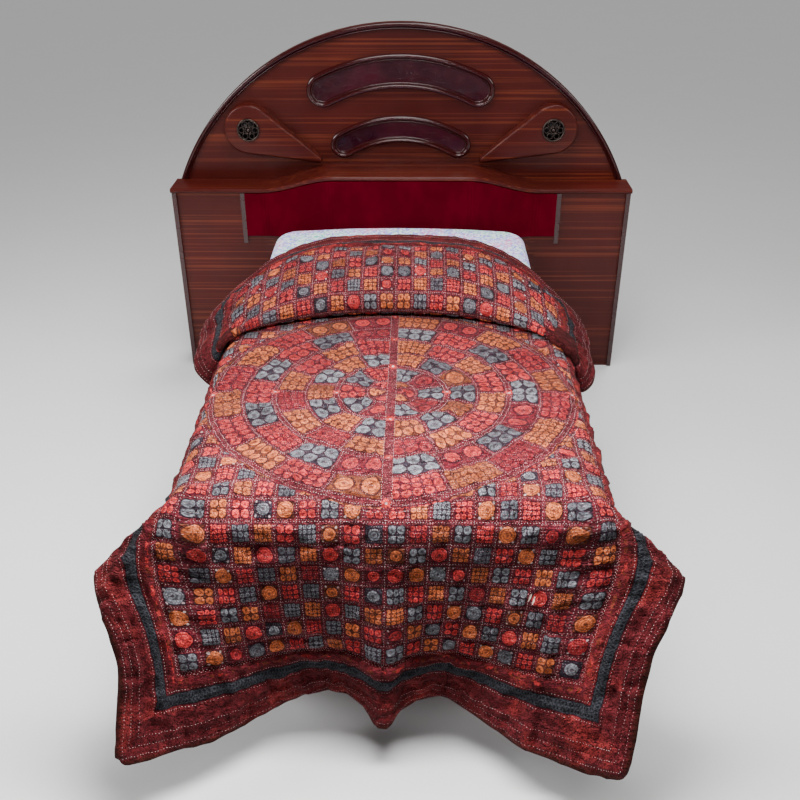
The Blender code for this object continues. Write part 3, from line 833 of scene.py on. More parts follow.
@dataclass(frozen=True)
class PrintedCotton(Finish):
    """Block printed maroon cotton with squares, a round and a striped border."""

    name: str = "printed_cotton"
    base: Triple = (0.12, 0.010, 0.018)
    rough: float = 0.85
    settings: Settings = (
        ("Sheen Weight", 0.02), ("Sheen Roughness", 0.45), ("Sheen Tint", (1.0, 0.62, 0.60)),
        ("Specular IOR Level", 0.07))
    lane: Triple = (0.116, 0.014, 0.021)
    lane_light: Triple = (0.36, 0.075, 0.082)
    outline: Triple = (0.028, 0.006, 0.012)
    border: Triple = (0.020, 0.0016, 0.0028)
    border_light: Triple = (0.110, 0.0130, 0.0165)
    # lighter red of the border's print strokes and painted highlights
    stroke: Triple = (0.290, 0.0310, 0.0290)
    stripe: Triple = (0.011, 0.011, 0.015)
    stripe_light: Triple = (0.038, 0.040, 0.047)
    hem: Triple = (0.042, 0.012, 0.006)
    under: Triple = (0.060, 0.008, 0.009)
    bud: Triple = (0.50, 0.035, 0.030)
    thread: Triple = (0.62, 0.46, 0.46)
    lint: Triple = (0.95, 0.72, 0.62)
    # across, along, lean
    tufts: tuple[Triple, ...] = ((0.3735, -0.728, 0.25), (0.3840, -0.733, 0.10))
    tuft_wide: float = 0.0026
    tuft_long: float = 0.0125
    soft: float = 0.0009
    corner: float = 0.0055
    play: float = 0.0060
    play_scales: Pair = (34.0, 55.0)
    needle_scale: float = 225.0
    needle_dark: float = 0.52
    rows_per_pitch: int = 8
    row_period: float = 0.0056
    leaf: float = 0.0155
    petal: float = 0.0022
    bud_edge: Pair = (0.0125, 0.0105)
    eye_edge: Pair = (0.0040, 0.0026)
    rim_edge: Pair = (-0.0028, -0.0012)
    hem_edge: Pair = (0.016, 0.002)
    rail_soft: float = 0.0015
    field_edge: float = 0.1705
    rail: Pair = (0.1500, 0.1590)
    stripe_edges: Pair = (0.1010, 0.1300)
    # fade, blotch and grain: repeats per metre, darkest, lightest
    tones: tuple[Triple, ...] = ((7.0, 0.74, 1.18), (100.0, 0.62, 1.24), (330.0, 0.62, 1.40))
    weave_pitch: float = 0.0011
    relief: float = 0.0070
    layout: Layout = Layout()
    # from, repeats / 8, stretch / 2, size
    motifs: Stops = (
        (0.00, (1 / 8, 0.50, 0.90)),
        (0.20, (2 / 8, 0.50, 0.88)),
        (0.44, (2 / 8, 0.75, 0.86)),
        (0.58, (3 / 8, 0.50, 0.86)),
        (0.76, (1 / 8, 0.50, 0.66)),
        (0.84, (4 / 8, 0.50, 0.86)),
    )
    # families of the two kinds of patch in each ring, from the core outwards
    rings: tuple[Triple, ...] = (
        (5 / 6, 3 / 6, 0.0), (1 / 6, 3 / 6, 0.0), (5 / 6, 1 / 6, 0.0),
        (3 / 6, 5 / 6, 0.0), (1 / 6, 3 / 6, 0.0), (3 / 6, 5 / 6, 0.0),
    )

    def lay(self, coat: Coat) -> None:
        """Lay the print, its wear, its crumple and painted shade in its creases on.

        Args:
            coat: the material.
        """
        drawn = Drawing(self, coat)
        colour, emboss = drawn.patches()
        colour = coat.paint(drawn.running_rows(), colour, self.thread)
        colour = coat.paint(drawn.needle * self.needle_dark, colour, self.outline)
        rim = coat.step(drawn.hem, self.field_edge + self.soft, self.field_edge - self.soft)
        colour = coat.paint(rim, colour, drawn.border_colours())
        colour = coat.paint(coat.step(drawn.face, 0.35, 0.05), colour, self.under)
        colour = coat.paint(drawn.torn() * drawn.face, colour, self.lint)
        weave, shade = coat.weave(drawn.cloth, self.weave_pitch)
        fade, blotch, grain = (coat.tone(drawn.cloth, *values) for values in self.tones)
        # thin crease lines: painted shade of the creases in the colour, and dents in the bump
        wrinkle = coat.noise(coat.stretch(drawn.cloth, (0.55, 1.0, 0.0)), 42.0, 3.0, 0.60)
        wrinkle = coat.step(coat.size(wrinkle - 0.5), 0.030, 0.004)
        # the crease mask darkens the tone here as painted shade
        tone = fade * blotch * grain * shade * (1.0 - wrinkle * 0.42)
        coat.give("Base Color", coat.shade(colour, tone))
        coat.give("Roughness", coat.span(blotch, 0.66, 0.84))
        crinkle = coat.noise(coat.stretch(drawn.cloth, (0.60, 1.0, 0.0)), 85.0, 3.0, 0.66)
        height = crinkle * 1.6 + weave * 0.1 + emboss * 0.1
        height = height - drawn.needle * 0.2 - wrinkle * 0.5
        coat.give("Normal", coat.bump(height, self.relief))


@dataclass(frozen=True)
class Thread(Finish):
    """Twisted white cotton thread, here and there dyed by the print."""

    name: str = "quilting_thread"
    base: Triple = (0.72, 0.55, 0.56)
    rough: float = 0.75
    dyed: Triple = (0.42, 0.13, 0.13)
    pitch: float = 0.0005
    relief: float = 0.0002

    def lay(self, coat: Coat) -> None:
        """Lay the dye, the age and the twist on.

        Args:
            coat: the material.
        """
        place = coat.place()
        stain = coat.step(coat.noise(place, 11.0), 0.50, 0.66) * 0.55
        colour = coat.paint(stain, self.base, self.dyed)
        coat.give("Base Color", coat.shade(colour, coat.tone(place, 26.0, 0.62, 1.05)))
        twist, _ = coat.weave(place, self.pitch)
        coat.give("Normal", coat.bump(twist, self.relief))


@dataclass(frozen=True)
class SpeckledSheet(Finish):
    """White cotton sheet with lilac, mint, pink and blue speckles."""

    name: str = "speckled_sheet"
    base: Triple = (0.96, 0.95, 1.0)
    rough: float = 0.85
    settings: Settings = (("Sheen Weight", 0.1),)
    lilac: Triple = (0.30, 0.14, 0.80)
    mint: Triple = (0.06, 0.62, 0.46)
    blue: Triple = (0.10, 0.20, 0.85)
    pink: Triple = (0.74, 0.16, 0.46)
    tint: float = 0.16
    speckles: float = 135.0
    pitch: float = 0.0007
    relief: float = 0.0014

    def lay(self, coat: Coat) -> None:
        """Lay the speckles and the creases on.

        Args:
            coat: the material.
        """
        place = coat.place()
        chance, lean, _ = coat.split(coat.cells(place, self.speckles, "Color"))
        patch = coat.noise(place, 8.0) + (lean - 0.5) * 0.24
        hue = coat.ramp(patch, ((0.38, self.mint), (0.47, self.lilac), (0.55, self.blue),
                                 (0.66, self.pink)))
        spots = coat.step(chance, 0.30, 0.36) * coat.span(lean, 0.30, 1.0)
        ground = coat.paint(self.tint, self.base, hue)
        coat.give("Base Color", coat.paint(spots, ground, hue))
        weave, _ = coat.weave(place, self.pitch)
        height = weave * 0.2 + coat.noise(place, 30.0, 3.0)
        coat.give("Normal", coat.bump(height, self.relief))


@dataclass(frozen=True)
class MahoganyLaminate(Finish):
    """Satin mahogany laminate with streaks that run across."""

    name: str = "mahogany_laminate"
    base: Triple = (0.060, 0.0068, 0.0050)
    rough: float = 0.34
    settings: Settings = (
        ("Specular IOR Level", 0.17), ("Coat Weight", 0.08), ("Coat Roughness", 0.22))
    streak: Triple = (0.140, 0.0260, 0.0110)
    deep: Triple = (0.030, 0.0030, 0.0026)
    relief: float = 0.00008

    def lay(self, coat: Coat) -> None:
        """Lay the grain and the handling on.

        Args:
            coat: the material.
        """
        place = coat.place()
        streak, pore = coat.streaks(place)
        colour = coat.paint(streak, self.base, self.streak)
        colour = coat.paint(pore * 0.55, colour, self.deep)
        coat.give("Base Color", coat.shade(colour, coat.tone(place, 2.2, 0.80, 1.12)))
        coat.polish(place, 0.30, 0.44)
        coat.give("Normal", coat.bump(pore * -0.6, self.relief))


@dataclass(frozen=True)
class Lacquer(Finish):
    """Dark lacquered moulding, a little worn in cloudy streaks."""

    name: str = "dark_lacquer"
    base: Triple = (0.030, 0.0030, 0.0034)
    rough: float = 0.12
    settings: Settings = (
        ("Specular IOR Level", 0.42), ("Coat Weight", 0.20), ("Coat Roughness", 0.12))
    worn: Triple = (0.075, 0.0075, 0.0075)

    def lay(self, coat: Coat) -> None:
        """Lay the wear and the handling on.

        Args:
            coat: the material.
        """
        place = coat.place()
        streak, _ = coat.streaks(place)
        share = coat.tone(place, 14.0, 0.0, 0.30) * coat.span(streak, 0.5, 1.0)
        coat.give("Base Color", coat.paint(share, self.base, self.worn))
        coat.polish(place, self.rough, self.rough + 0.06)


@dataclass(frozen=True)
class PlumGloss(Finish):
    """High gloss plum inset with a slightly wavy face."""

    name: str = "plum_gloss"
    base: Triple = (0.020, 0.0016, 0.0056)
    rough: float = 0.10
    settings: Settings = (("Specular IOR Level", 0.34),)
    light: Triple = (0.044, 0.0044, 0.0110)
    relief: float = 0.0045

    def lay(self, coat: Coat) -> None:
        """Lay the cloudy colour and the waves on.

        Args:
            coat: the material.
        """
        place = coat.place()
        shade = coat.tone(place, 7.0, 0.0, 1.0)
        coat.give("Base Color", coat.paint(shade, self.base, self.light))
        coat.polish(place, 0.08, 0.17)
        wave = coat.noise(coat.stretch(place, (9.0, 9.0, 15.0)), detail=1.0)
        fold = coat.noise(coat.stretch(place, (24.0, 24.0, 70.0)))
        fold = coat.step(coat.size(fold - 0.5), 0.030, 0.0)
        coat.give("Normal", coat.bump(wave + fold * 0.06, self.relief))


@dataclass(frozen=True)
class CrimsonVelvet(Finish):
    """Crimson velvet whose pile is brushed up and down."""

    name: str = "crimson_velvet"
    base: Triple = (0.104, 0.0006, 0.0084)
    rough: float = 0.95
    settings: Settings = (
        ("Sheen Weight", 0.2), ("Sheen Roughness", 0.35), ("Sheen Tint", (0.9, 0.02, 0.06)),
        ("Specular IOR Level", 0.0))
    dark: Triple = (0.078, 0.0005, 0.0062)
    pitch: float = 0.0006
    relief: float = 0.0008

    def lay(self, coat: Coat) -> None:
        """Lay the brushed pile on.

        Args:
            coat: the material.
        """
        place = coat.place()
        brushed = coat.noise(coat.stretch(place, (9.0, 9.0, 5.0)), 1.0, 3.0, 0.6)
        colour = coat.paint(coat.step(brushed, 0.36, 0.64), self.dark, self.base)
        coat.give("Base Color", colour)
        pile, _ = coat.weave(place, self.pitch)
        coat.give("Normal", coat.bump(pile + brushed, self.relief))


@dataclass(frozen=True)
class AgedBronze(Finish):
    """Dark bronze, rubbed bright on its front."""

    name: str = "aged_bronze"
    base: Triple = (0.010, 0.008, 0.008)
    rough: float = 0.38
    settings: Settings = (("Metallic", 0.85),)
    rubbed: Triple = (0.105, 0.074, 0.062)
    front: float = BOARD_FACE - 0.0475
    depth: float = 0.0055

    def lay(self, coat: Coat) -> None:
        """Lay the rubbed crest and the handling on.

        Args:
            coat: the material.
        """
        place = coat.place()
        crest = coat.step(coat.split(place)[1], self.front, self.front - self.depth)
        share = coat.tone(place, 160.0, 0.35, 1.0) * crest
        coat.give("Base Color", coat.paint(share, self.base, self.rubbed))
        coat.polish(place, 0.26, 0.50)


@dataclass(frozen=True)
class StudioPaper(Finish):
    """Pale studio floor."""

    name: str = "studio_paper"
    base: Triple = (0.86, 0.86, 0.86)
    rough: float = 0.9

    def lay(self, coat: Coat) -> None:
        """Vary the floor a very little."""
        fleck = coat.noise(coat.place(), 3.0)
        coat.give("Base Color", coat.shade(self.base, coat.span(fleck, 0.97, 1.0)))


class Finishes:
    """The finished materials by slot."""

    def __init__(self) -> None:
        """Build every material."""
        effects = Effects()
        recipes = {
            Slot.PRINTED: PrintedCotton(),
            Slot.SHEET: SpeckledSheet(),
            Slot.LAMINATE: MahoganyLaminate(),
            Slot.INSET: PlumGloss(),
            Slot.TRIM: Lacquer(),
            Slot.VELVET: CrimsonVelvet(),
            Slot.BRONZE: AgedBronze(),
        }
        self.made = {slot: recipe.dress(effects) for slot, recipe in recipes.items()}
        self.thread = Thread().dress(effects)
        self.floor = StudioPaper().dress(effects)


@dataclass
class Maker:
    """What every builder of pieces has."""

    finishes: Finishes

    def dress(self, piece: Object, slot: Slot, material: Material | None = None) -> None:
        """Give a piece the material of its slot and the body it rides on.

        Args:
            piece: the new piece.
            slot: material slot of the record.
            material: its finish, where it isn't the slot's own.
        """
        piece.data.materials.clear()
        piece.data.materials.append(material or self.finishes.made[slot])
        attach(piece, BODY)
        count = sum(len(face.vertices) - 2 for face in piece.data.polygons)
        LOG.info("%s: %d triangles", piece.name, count)


# the draped cloth


@dataclass(frozen=True)
class Hang:
    """Amounts in which the two sides of the drape differ."""

    turn: float
    narrow: float
    flare: float
    waist: float
    corner: float
    pull: float
    crown: int


LEFT_HANG = Hang(turn=0.097, narrow=0.143, flare=0.034, waist=0.045, corner=0.07, pull=0.12,
                 crown=1)
RIGHT_HANG = Hang(turn=0.113, narrow=0.226, flare=0.056, waist=0.018, corner=0.04, pull=0.14,
                  crown=2)


@dataclass(frozen=True)
class Drape:
    """Where each point of the flat cloth lies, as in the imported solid."""

    thick: float = 0.026
    hem_thick: float = 0.008
    middle_y: float = 0.492
    edge_x: float = 0.462
    edge_y: float = 0.035
    turn_foot: float = 0.125
    foot_tilt: float = math.radians(77)
    side_tilt: float = math.radians(80)
    wing_side: Triple = (0.66, -0.36, -0.60)
    wing_foot: Triple = (0.62, -0.50, -0.66)
    wing_from: float = math.radians(39)
    wing_to: float = math.radians(54)
    ridge_soft: float = 0.06
    ridge_reach: float = 0.25
    tuck_radius: float = 0.0155
    lip_along: float = 0.585
    lip_y: float = 0.985
    pull_at: float = 0.45
    pull_end: float = 0.52
    pull_power: float = 2.2
    side_layer: float = 0.0217
    layer_from: float = 0.03
    layer_spread: float = 0.08
    raised_from: float = -0.02
    raised_full: float = 0.09
    narrow_power: float = 1.4
    lean: float = 0.010
    flare_at: float = 0.30
    flare_span: float = 0.18
    waist_at: float = 0.68
    waist_span: float = 0.24
    flare_from: float = 0.45
    flare_full: float = 0.70
    corner_from: float = 0.30
    corner_full: float = 0.75
    hem_power: float = 2.4
    hem_reach: float = 0.030
    channel_depth: float = 0.42
    channel_reach: float = 0.011
    channels: tuple[float, ...] = (0.035, 0.070, 0.100, 0.130, 0.170)
    table_steps: int = 2400
    crown_reach: float = 0.75
    crown_steps: int = 400
    small: float = 0.002
    layout: Layout = Layout()
    lip_slope: Rows = (
        # beyond the lip, degrees
        (-0.018, 180), (0.008, 125), (0.028, 82), (0.050, 52), (0.085, 30), (0.125, 20),
        (0.175, 15), (0.225, 9), (0.270, 1), (0.310, -5), (0.500, -8),
    )
    crown_slope: tuple[Triple, ...] = (
        # across, left degrees, right degrees
        (0.00, 0, 0), (0.18, 0, 0), (0.28, 7, 8), (0.36, 14, 16), (0.44, 23, 26),
        (0.52, 33, 38), (0.60, 43, 46), (0.70, 50, 50),
    )
    hem_play: Rows = (
        # across, set back of the foot hem
        (-0.78, -0.105), (-0.60, -0.088), (-0.48, -0.066), (-0.39, -0.008), (-0.32, 0.042),
        (-0.24, 0.086), (-0.17, 0.102), (-0.11, 0.088), (-0.06, 0.048), (-0.015, -0.022),
        (0.015, -0.025), (0.050, 0.030), (0.100, 0.066), (0.150, 0.080), (0.200, 0.086),
        (0.260, 0.048), (0.340, -0.008), (0.450, -0.088), (0.600, -0.122), (0.780, -0.118),
    )

    def hang(self, across: float) -> Hang:
        """Amounts of the side that a column lies on."""
        return LEFT_HANG if across < 0 else RIGHT_HANG

    def tip(self, across: float) -> float:
        """Length along at which the tuck turns back.

        Args:
            across: the column's place.

        Returns:
            The place of its tip.
        """
        share = min(abs(across), self.pull_end) / self.pull_at
        lip_y = self.lip_y - self.hang(across).pull * share ** self.pull_power
        return (self.middle_y + self.lip_along + lip_y) / 2 - self.middle_y

    def profile(self, across: float) -> tuple[Array, Array, Array]:
        """Lengthwise section of one column.

        Args:
            across: the column's place.

        Returns:
            Lengths along with their y and height.
        """
        tip = self.tip(across)
        half_turn = math.pi * self.tuck_radius / 2
        far = self.layout.half_length
        keys = [(-2 * far, 0.0), (tip - half_turn, 0.0), (tip + half_turn, 180.0)]
        keys += [(self.lip_along + beyond, slope) for beyond, slope in self.lip_slope]
        table = np.array(keys)
        along = np.linspace(-far, far, self.table_steps)
        slope = np.radians(np.interp(along, table[:, 0], table[:, 1]))
        step = along[1] - along[0]
        run = np.cos(slope)
        rise = np.sin(slope)
        y = np.concatenate([[0.0], np.cumsum((run[1:] + run[:-1]) / 2) * step])
        z = np.concatenate([[0.0], np.cumsum((rise[1:] + rise[:-1]) / 2) * step])
        y += self.middle_y - np.interp(0.0, along, y)
        z += self.thick / 2 + GAP - np.interp(0.0, along, z)
        return along, y, z

    def bend(self, length: Array, tilt: Array, turn: Array) -> tuple[Array, Array]:
        """Cloth that turns over an edge to a final tilt.

        Args:
            length: length past the edge.
            tilt: final tilt below level.
            turn: length over which it turns.

        Returns:
            Outward reach and drop.
        """
        turned = np.clip(length / turn, 0.0, 1.0)
        reach = turn / tilt * np.sin(tilt * turned)
        drop = turn / tilt * (1.0 - np.cos(tilt * turned))
        rest = np.maximum(length - turn, 0.0)
        return reach + rest * np.cos(tilt), drop + rest * np.sin(tilt)

    def between(self, start: Array, end: Array, share: Array) -> Array:
        """Turn one unit direction into another.

        Args:
            start: first direction.
            end: last direction.
            share: share of the turn at each point.

        Returns:
            Unit directions.
        """
        angle = math.acos(float(np.dot(start, end)))
        share = share[..., None]
        mixed = np.sin((1 - share) * angle) * start + np.sin(share * angle) * end
        return mixed / math.sin(angle)

    def fall(self, sweep: Array) -> Array:
        """Direction in which the cloth leaves a foot corner.

        Args:
            sweep: angle from the side fall to the foot fall.

        Returns:
            Unit directions.
        """
        foot = np.array([0.0, -math.cos(self.foot_tilt), -math.sin(self.foot_tilt)])
        side = np.array([math.cos(self.side_tilt), 0.0, -math.sin(self.side_tilt)])
        ways = (side, unit(np.array(self.wing_side)), unit(np.array(self.wing_foot)), foot)
        turns = (0.0, self.wing_from, self.wing_to, math.pi / 2)
        out = side
        for way, following, low, high in zip(ways, ways[1:], turns, turns[1:]):
            part = self.between(way, following, np.clip((sweep - low) / (high - low), 0, 1))
            out = np.where((sweep >= low)[..., None], part, out)
        ridge = (self.wing_from + self.wing_to) / 2
        soft = self.ridge_soft * dip(sweep - ridge, self.ridge_reach)[..., None]
        return unit(out * (1 - soft) + unit(foot + side) * soft)

    def crown(self, column: int) -> tuple[Array, Array, Array]:
        """Section across the raised part.

        Args:
            column: which slopes of the table it takes.

        Returns:
            Distances across with their reach and drop.
        """
        table = np.array(self.crown_slope)
        across = np.linspace(0.0, self.crown_reach, self.crown_steps)
        slope = np.radians(np.interp(across, table[:, 0], table[:, column]))
        step = across[1] - across[0]
        return across, np.cumsum(np.cos(slope)) * step, np.cumsum(np.sin(slope)) * step

    def column(self, across: float, along: Array) -> Array:
        """Middle surface of the cloth for one distance across.

        Args:
            across: the column's place.
            along: many lengths along.

        Returns:
            Points in the shared frame.
        """
        hang = self.hang(across)
        side = -1.0 if across < 0 else 1.0
        wide = abs(across)
        table, y_table, z_table = self.profile(across)
        start = self.edge_y - self.middle_y
        flat = np.maximum(along, start)
        y = np.interp(flat, table, y_table)
        height = np.interp(flat, table, z_table)
        over_side = np.full_like(along, max(wide - self.edge_x, 0.0))
        over_foot = np.maximum(start - along, 0.0)
        sweep = np.where(over_side <= 0, math.pi / 2, np.arctan2(over_foot, over_side + TINY))
        out = self.fall(sweep)
        level = np.hypot(out[:, 0], out[:, 1])
        turn = hang.turn + (self.turn_foot - hang.turn) * sweep / (math.pi / 2)
        tilt = np.arctan2(-out[:, 2], level)
        reach, drop = self.bend(np.hypot(over_side, over_foot), tilt, turn)
        second = ease(0.0, self.layer_from, along - self.tip(across))
        second = second * ease(0.0, self.layer_spread, over_side) * self.side_layer
        x = min(wide, self.edge_x) + reach * out[:, 0] / level + second
        y = y + reach * out[:, 1] / level
        z = height - drop
        raised = ease(self.lip_along + self.raised_from, self.lip_along + self.raised_full, along)
        crown, crown_x, crown_z = self.crown(hang.crown)
        x = x * (1 - raised) + np.interp(wide, crown, crown_x) * raised
        z = z * (1 - raised) + (height - np.interp(wide, crown, crown_z)) * raised
        down = np.clip(over_foot / self.drop_length, 0.0, 1.0)
        flare = hang.flare * dip(down - self.flare_at, self.flare_span)
        waist = hang.waist * dip(down - self.waist_at, self.waist_span)
        x = x * (1 - hang.narrow * down ** self.narrow_power)
        x = x + (flare - waist) * float(ease(self.flare_from, self.flare_full, wide))
        x = side * x - self.lean * down
        corner = hang.corner * float(ease(self.corner_from, self.corner_full, wide))
        y = y - corner * ease(self.lip_along, self.layout.half_length, along)
        play = np.array(self.hem_play)
        y = y + np.interp(across, play[:, 0], play[:, 1]) * down ** self.hem_power
        return np.stack([x, y - FRAME_Y, z + BED_TOP], axis=-1)

    @property
    def drop_length(self) -> float:
        """Length of cloth past the foot edge."""
        return self.layout.half_length - (self.middle_y - self.edge_y)

    def half_thickness(self, across: Array, along: Array) -> Array:
        """Half the filled thickness, drawn in at the hem and at each border channel.

        Args:
            across: places across.
            along: places along.

        Returns:
            Half of the thickness at each place.
        """
        plan = self.layout
        edge = np.minimum(plan.half_width - np.abs(across), plan.half_length - np.abs(along))
        swell = np.sqrt(ease(0.0, self.hem_reach, edge))
        full = self.hem_thick + (self.thick - self.hem_thick) * swell
        for line in self.channels:
            full = full * (1 - self.channel_depth * dip(edge - line, self.channel_reach))
        return full / 2


@dataclass(frozen=True)
class Relief:
    """Puff between the quilting lines, creases and hem puckers, all on the top face."""

    seam_depth: float = 0.0045
    seam_reach: float = 0.0085
    swell: float = 0.0080
    crease_swell: float = 0.0066
    pucker: float = 0.0030
    hem_pucker: float = 0.0068
    fade_before: float = 0.15
    fade_span: float = 0.08
    lip_rise: Pair = (0.04, 0.12)
    calm_hem: float = 0.06
    hem_fade: Pair = (0.16, 0.09)
    hem_rise: float = 0.02
    head_fade: Pair = (0.22, 0.08)
    head_flat: float = 0.7
    crease_bow: float = 0.10
    crease_dip: float = 0.55
    round_soft: float = 0.004
    ridge_sharp: float = 3.2
    # cells per metre across and along, seed, share
    puffs: Rows = ((6, 6, 3, 0.5), (17, 17, 5, 0.5))
    crumples: Rows = ((8, 10, 19, 1.0), (15, 21, 23, 0.7), (19, 26, 29, -0.5))
    puckers: tuple[float, float, int] = (45, 50, 7)
    # cells per metre along the hem and from it, shift, seed, share
    hem_waves: Rows = ((26, 7, 40, 11, 1.0), (55, 14, 80, 13, 0.6))
    hem_ridges: Rows = ((17, 5, 20, 37, 1.1), (14, 4, 60, 39, -1.3))
    layout: Layout = Layout()
    # across, along, angle, length, width, height
    creases: Rows = (
        (-0.20, -0.520, 8.0, 0.110, 0.0065, 0.0070),
        (-0.06, -0.545, -6.0, 0.090, 0.0060, 0.0060),
        (0.30, -0.500, 12.0, 0.080, 0.0070, 0.0045),
        (-0.13, -0.610, 4.0, 0.100, 0.0070, 0.0060),
        (0.04, -0.660, -4.0, 0.120, 0.0065, 0.0055),
        (-0.32, -0.580, -14.0, 0.070, 0.0060, 0.0050),
        (-0.03, -0.345, -4.0, 0.080, 0.0060, 0.0040),
        (0.14, -0.430, 6.0, 0.100, 0.0060, 0.0040),
        (-0.45, -0.880, 20.0, 0.080, 0.0080, 0.0050),
        (0.42, -0.760, -50.0, 0.070, 0.0070, 0.0050),
    )

    def lines(self, across: Array, along: Array) -> Array:
        """Share of the seam depth at each point.

        Args:
            across: places across.
            along: places along.

        Returns:
            1 on a quilting line and 0 between the lines.
        """
        plan = self.layout
        wide = np.abs(across)
        length = np.abs(along)
        radius = np.hypot(wide, length)
        column = wide / plan.pitch
        row = (plan.row_edge - length) / plan.pitch
        to_column = np.abs(column - np.round(column)) * plan.pitch
        to_row = np.abs(row - np.round(row)) * plan.pitch
        squares = 1 - (1 - dip(to_column, self.seam_reach)) * (1 - dip(to_row, self.seam_reach))
        ring = (radius - plan.ring_start) / plan.ring_step
        ring = np.clip(ring, -plan.core_rings, plan.ring_count)
        to_ring = np.abs(ring - np.round(ring)) * plan.ring_step
        number = np.clip(np.floor(ring), -plan.core_rings, plan.ring_count - 1)
        parts = plan.core_parts + number + np.minimum(number, 0)
        turn = (np.arctan2(along, wide + TINY) / math.pi + 0.5) * parts
        to_spoke = np.abs(turn - np.round(turn)) * math.pi * radius / parts
        rounds = 1 - (1 - dip(to_ring, self.seam_reach)) * (1 - dip(to_spoke, self.seam_reach))
        inside = ease(plan.round_radius + self.round_soft, plan.round_radius - self.round_soft,
                      radius)
        field_part = np.where(np.maximum(wide - plan.field_half, length - plan.row_edge) > 0,
                              0.0, squares)
        return field_part * (1 - inside) + rounds * inside

    def ridges(self, x: Array, y: Array, seed: int) -> Array:
        """Narrow creases where seeded noise passes through zero, from 0 to 1."""
        return np.clip(1 - self.ridge_sharp * np.abs(rumple(x, y, seed)), 0, 1) ** 2

    def height(self, across: Array, along: Array, tip: Array, lip: float) -> Array:
        """Height of the top face over its plain place.

        Args:
            across: places across.
            along: places along.
            tip: where the tuck turns back, for each place.
            lip: where the raised part turns up.

        Returns:
            Heights in metres.
        """
        plan = self.layout
        hem = np.minimum(plan.half_width - np.abs(across), plan.half_length - np.abs(along))
        start = tip - self.fade_before
        low, high = (lip + rise for rise in self.lip_rise)
        open_part = np.maximum(ease(start, start - self.fade_span, along), ease(low, high, along))
        height = self.swell * sum(share * rumple(across * wide, along * long, seed)
                                  for wide, long, seed, share in self.puffs)
        for wide, long, seed, share in self.crumples:
            height += self.crease_swell * share * self.ridges(across * wide, along * long, seed)
        height = height * ease(0.0, self.calm_hem, hem)
        wide, long, seed = self.puckers
        height += self.pucker * rumple(across * wide, along * long, seed)
        side_first = (plan.half_width - np.abs(across)) < (plan.half_length - np.abs(along))
        run = np.where(side_first, along, across)
        folds = 0.0
        for noise, waves in ((rumple, self.hem_waves), (self.ridges, self.hem_ridges)):
            for long, deep, shift, seed, share in waves:
                folds = folds + share * noise(run * long, hem * deep + shift, seed)
        height += self.hem_pucker * folds * ease(*self.hem_fade, hem) * ease(0, self.hem_rise, hem)
        low, high = (plan.half_length - back for back in self.head_fade)
        height = height * (1 - self.head_flat * ease(low, high, along))
        for place_x, place_y, angle, length, width, rise in self.creases:
            turn = math.radians(angle)
            shift_x = across - place_x
            shift_y = along - place_y
            run = shift_x * math.cos(turn) + shift_y * math.sin(turn)
            off = -shift_x * math.sin(turn) + shift_y * math.cos(turn)
            off = off + self.crease_bow * run ** 2 / length
            ridge = dip(off, width) - self.crease_dip * dip(off + 2 * width, width)
            height += rise * ridge * dip(run, length / 2)
        return height * open_part - self.seam_depth * self.lines(across, along)


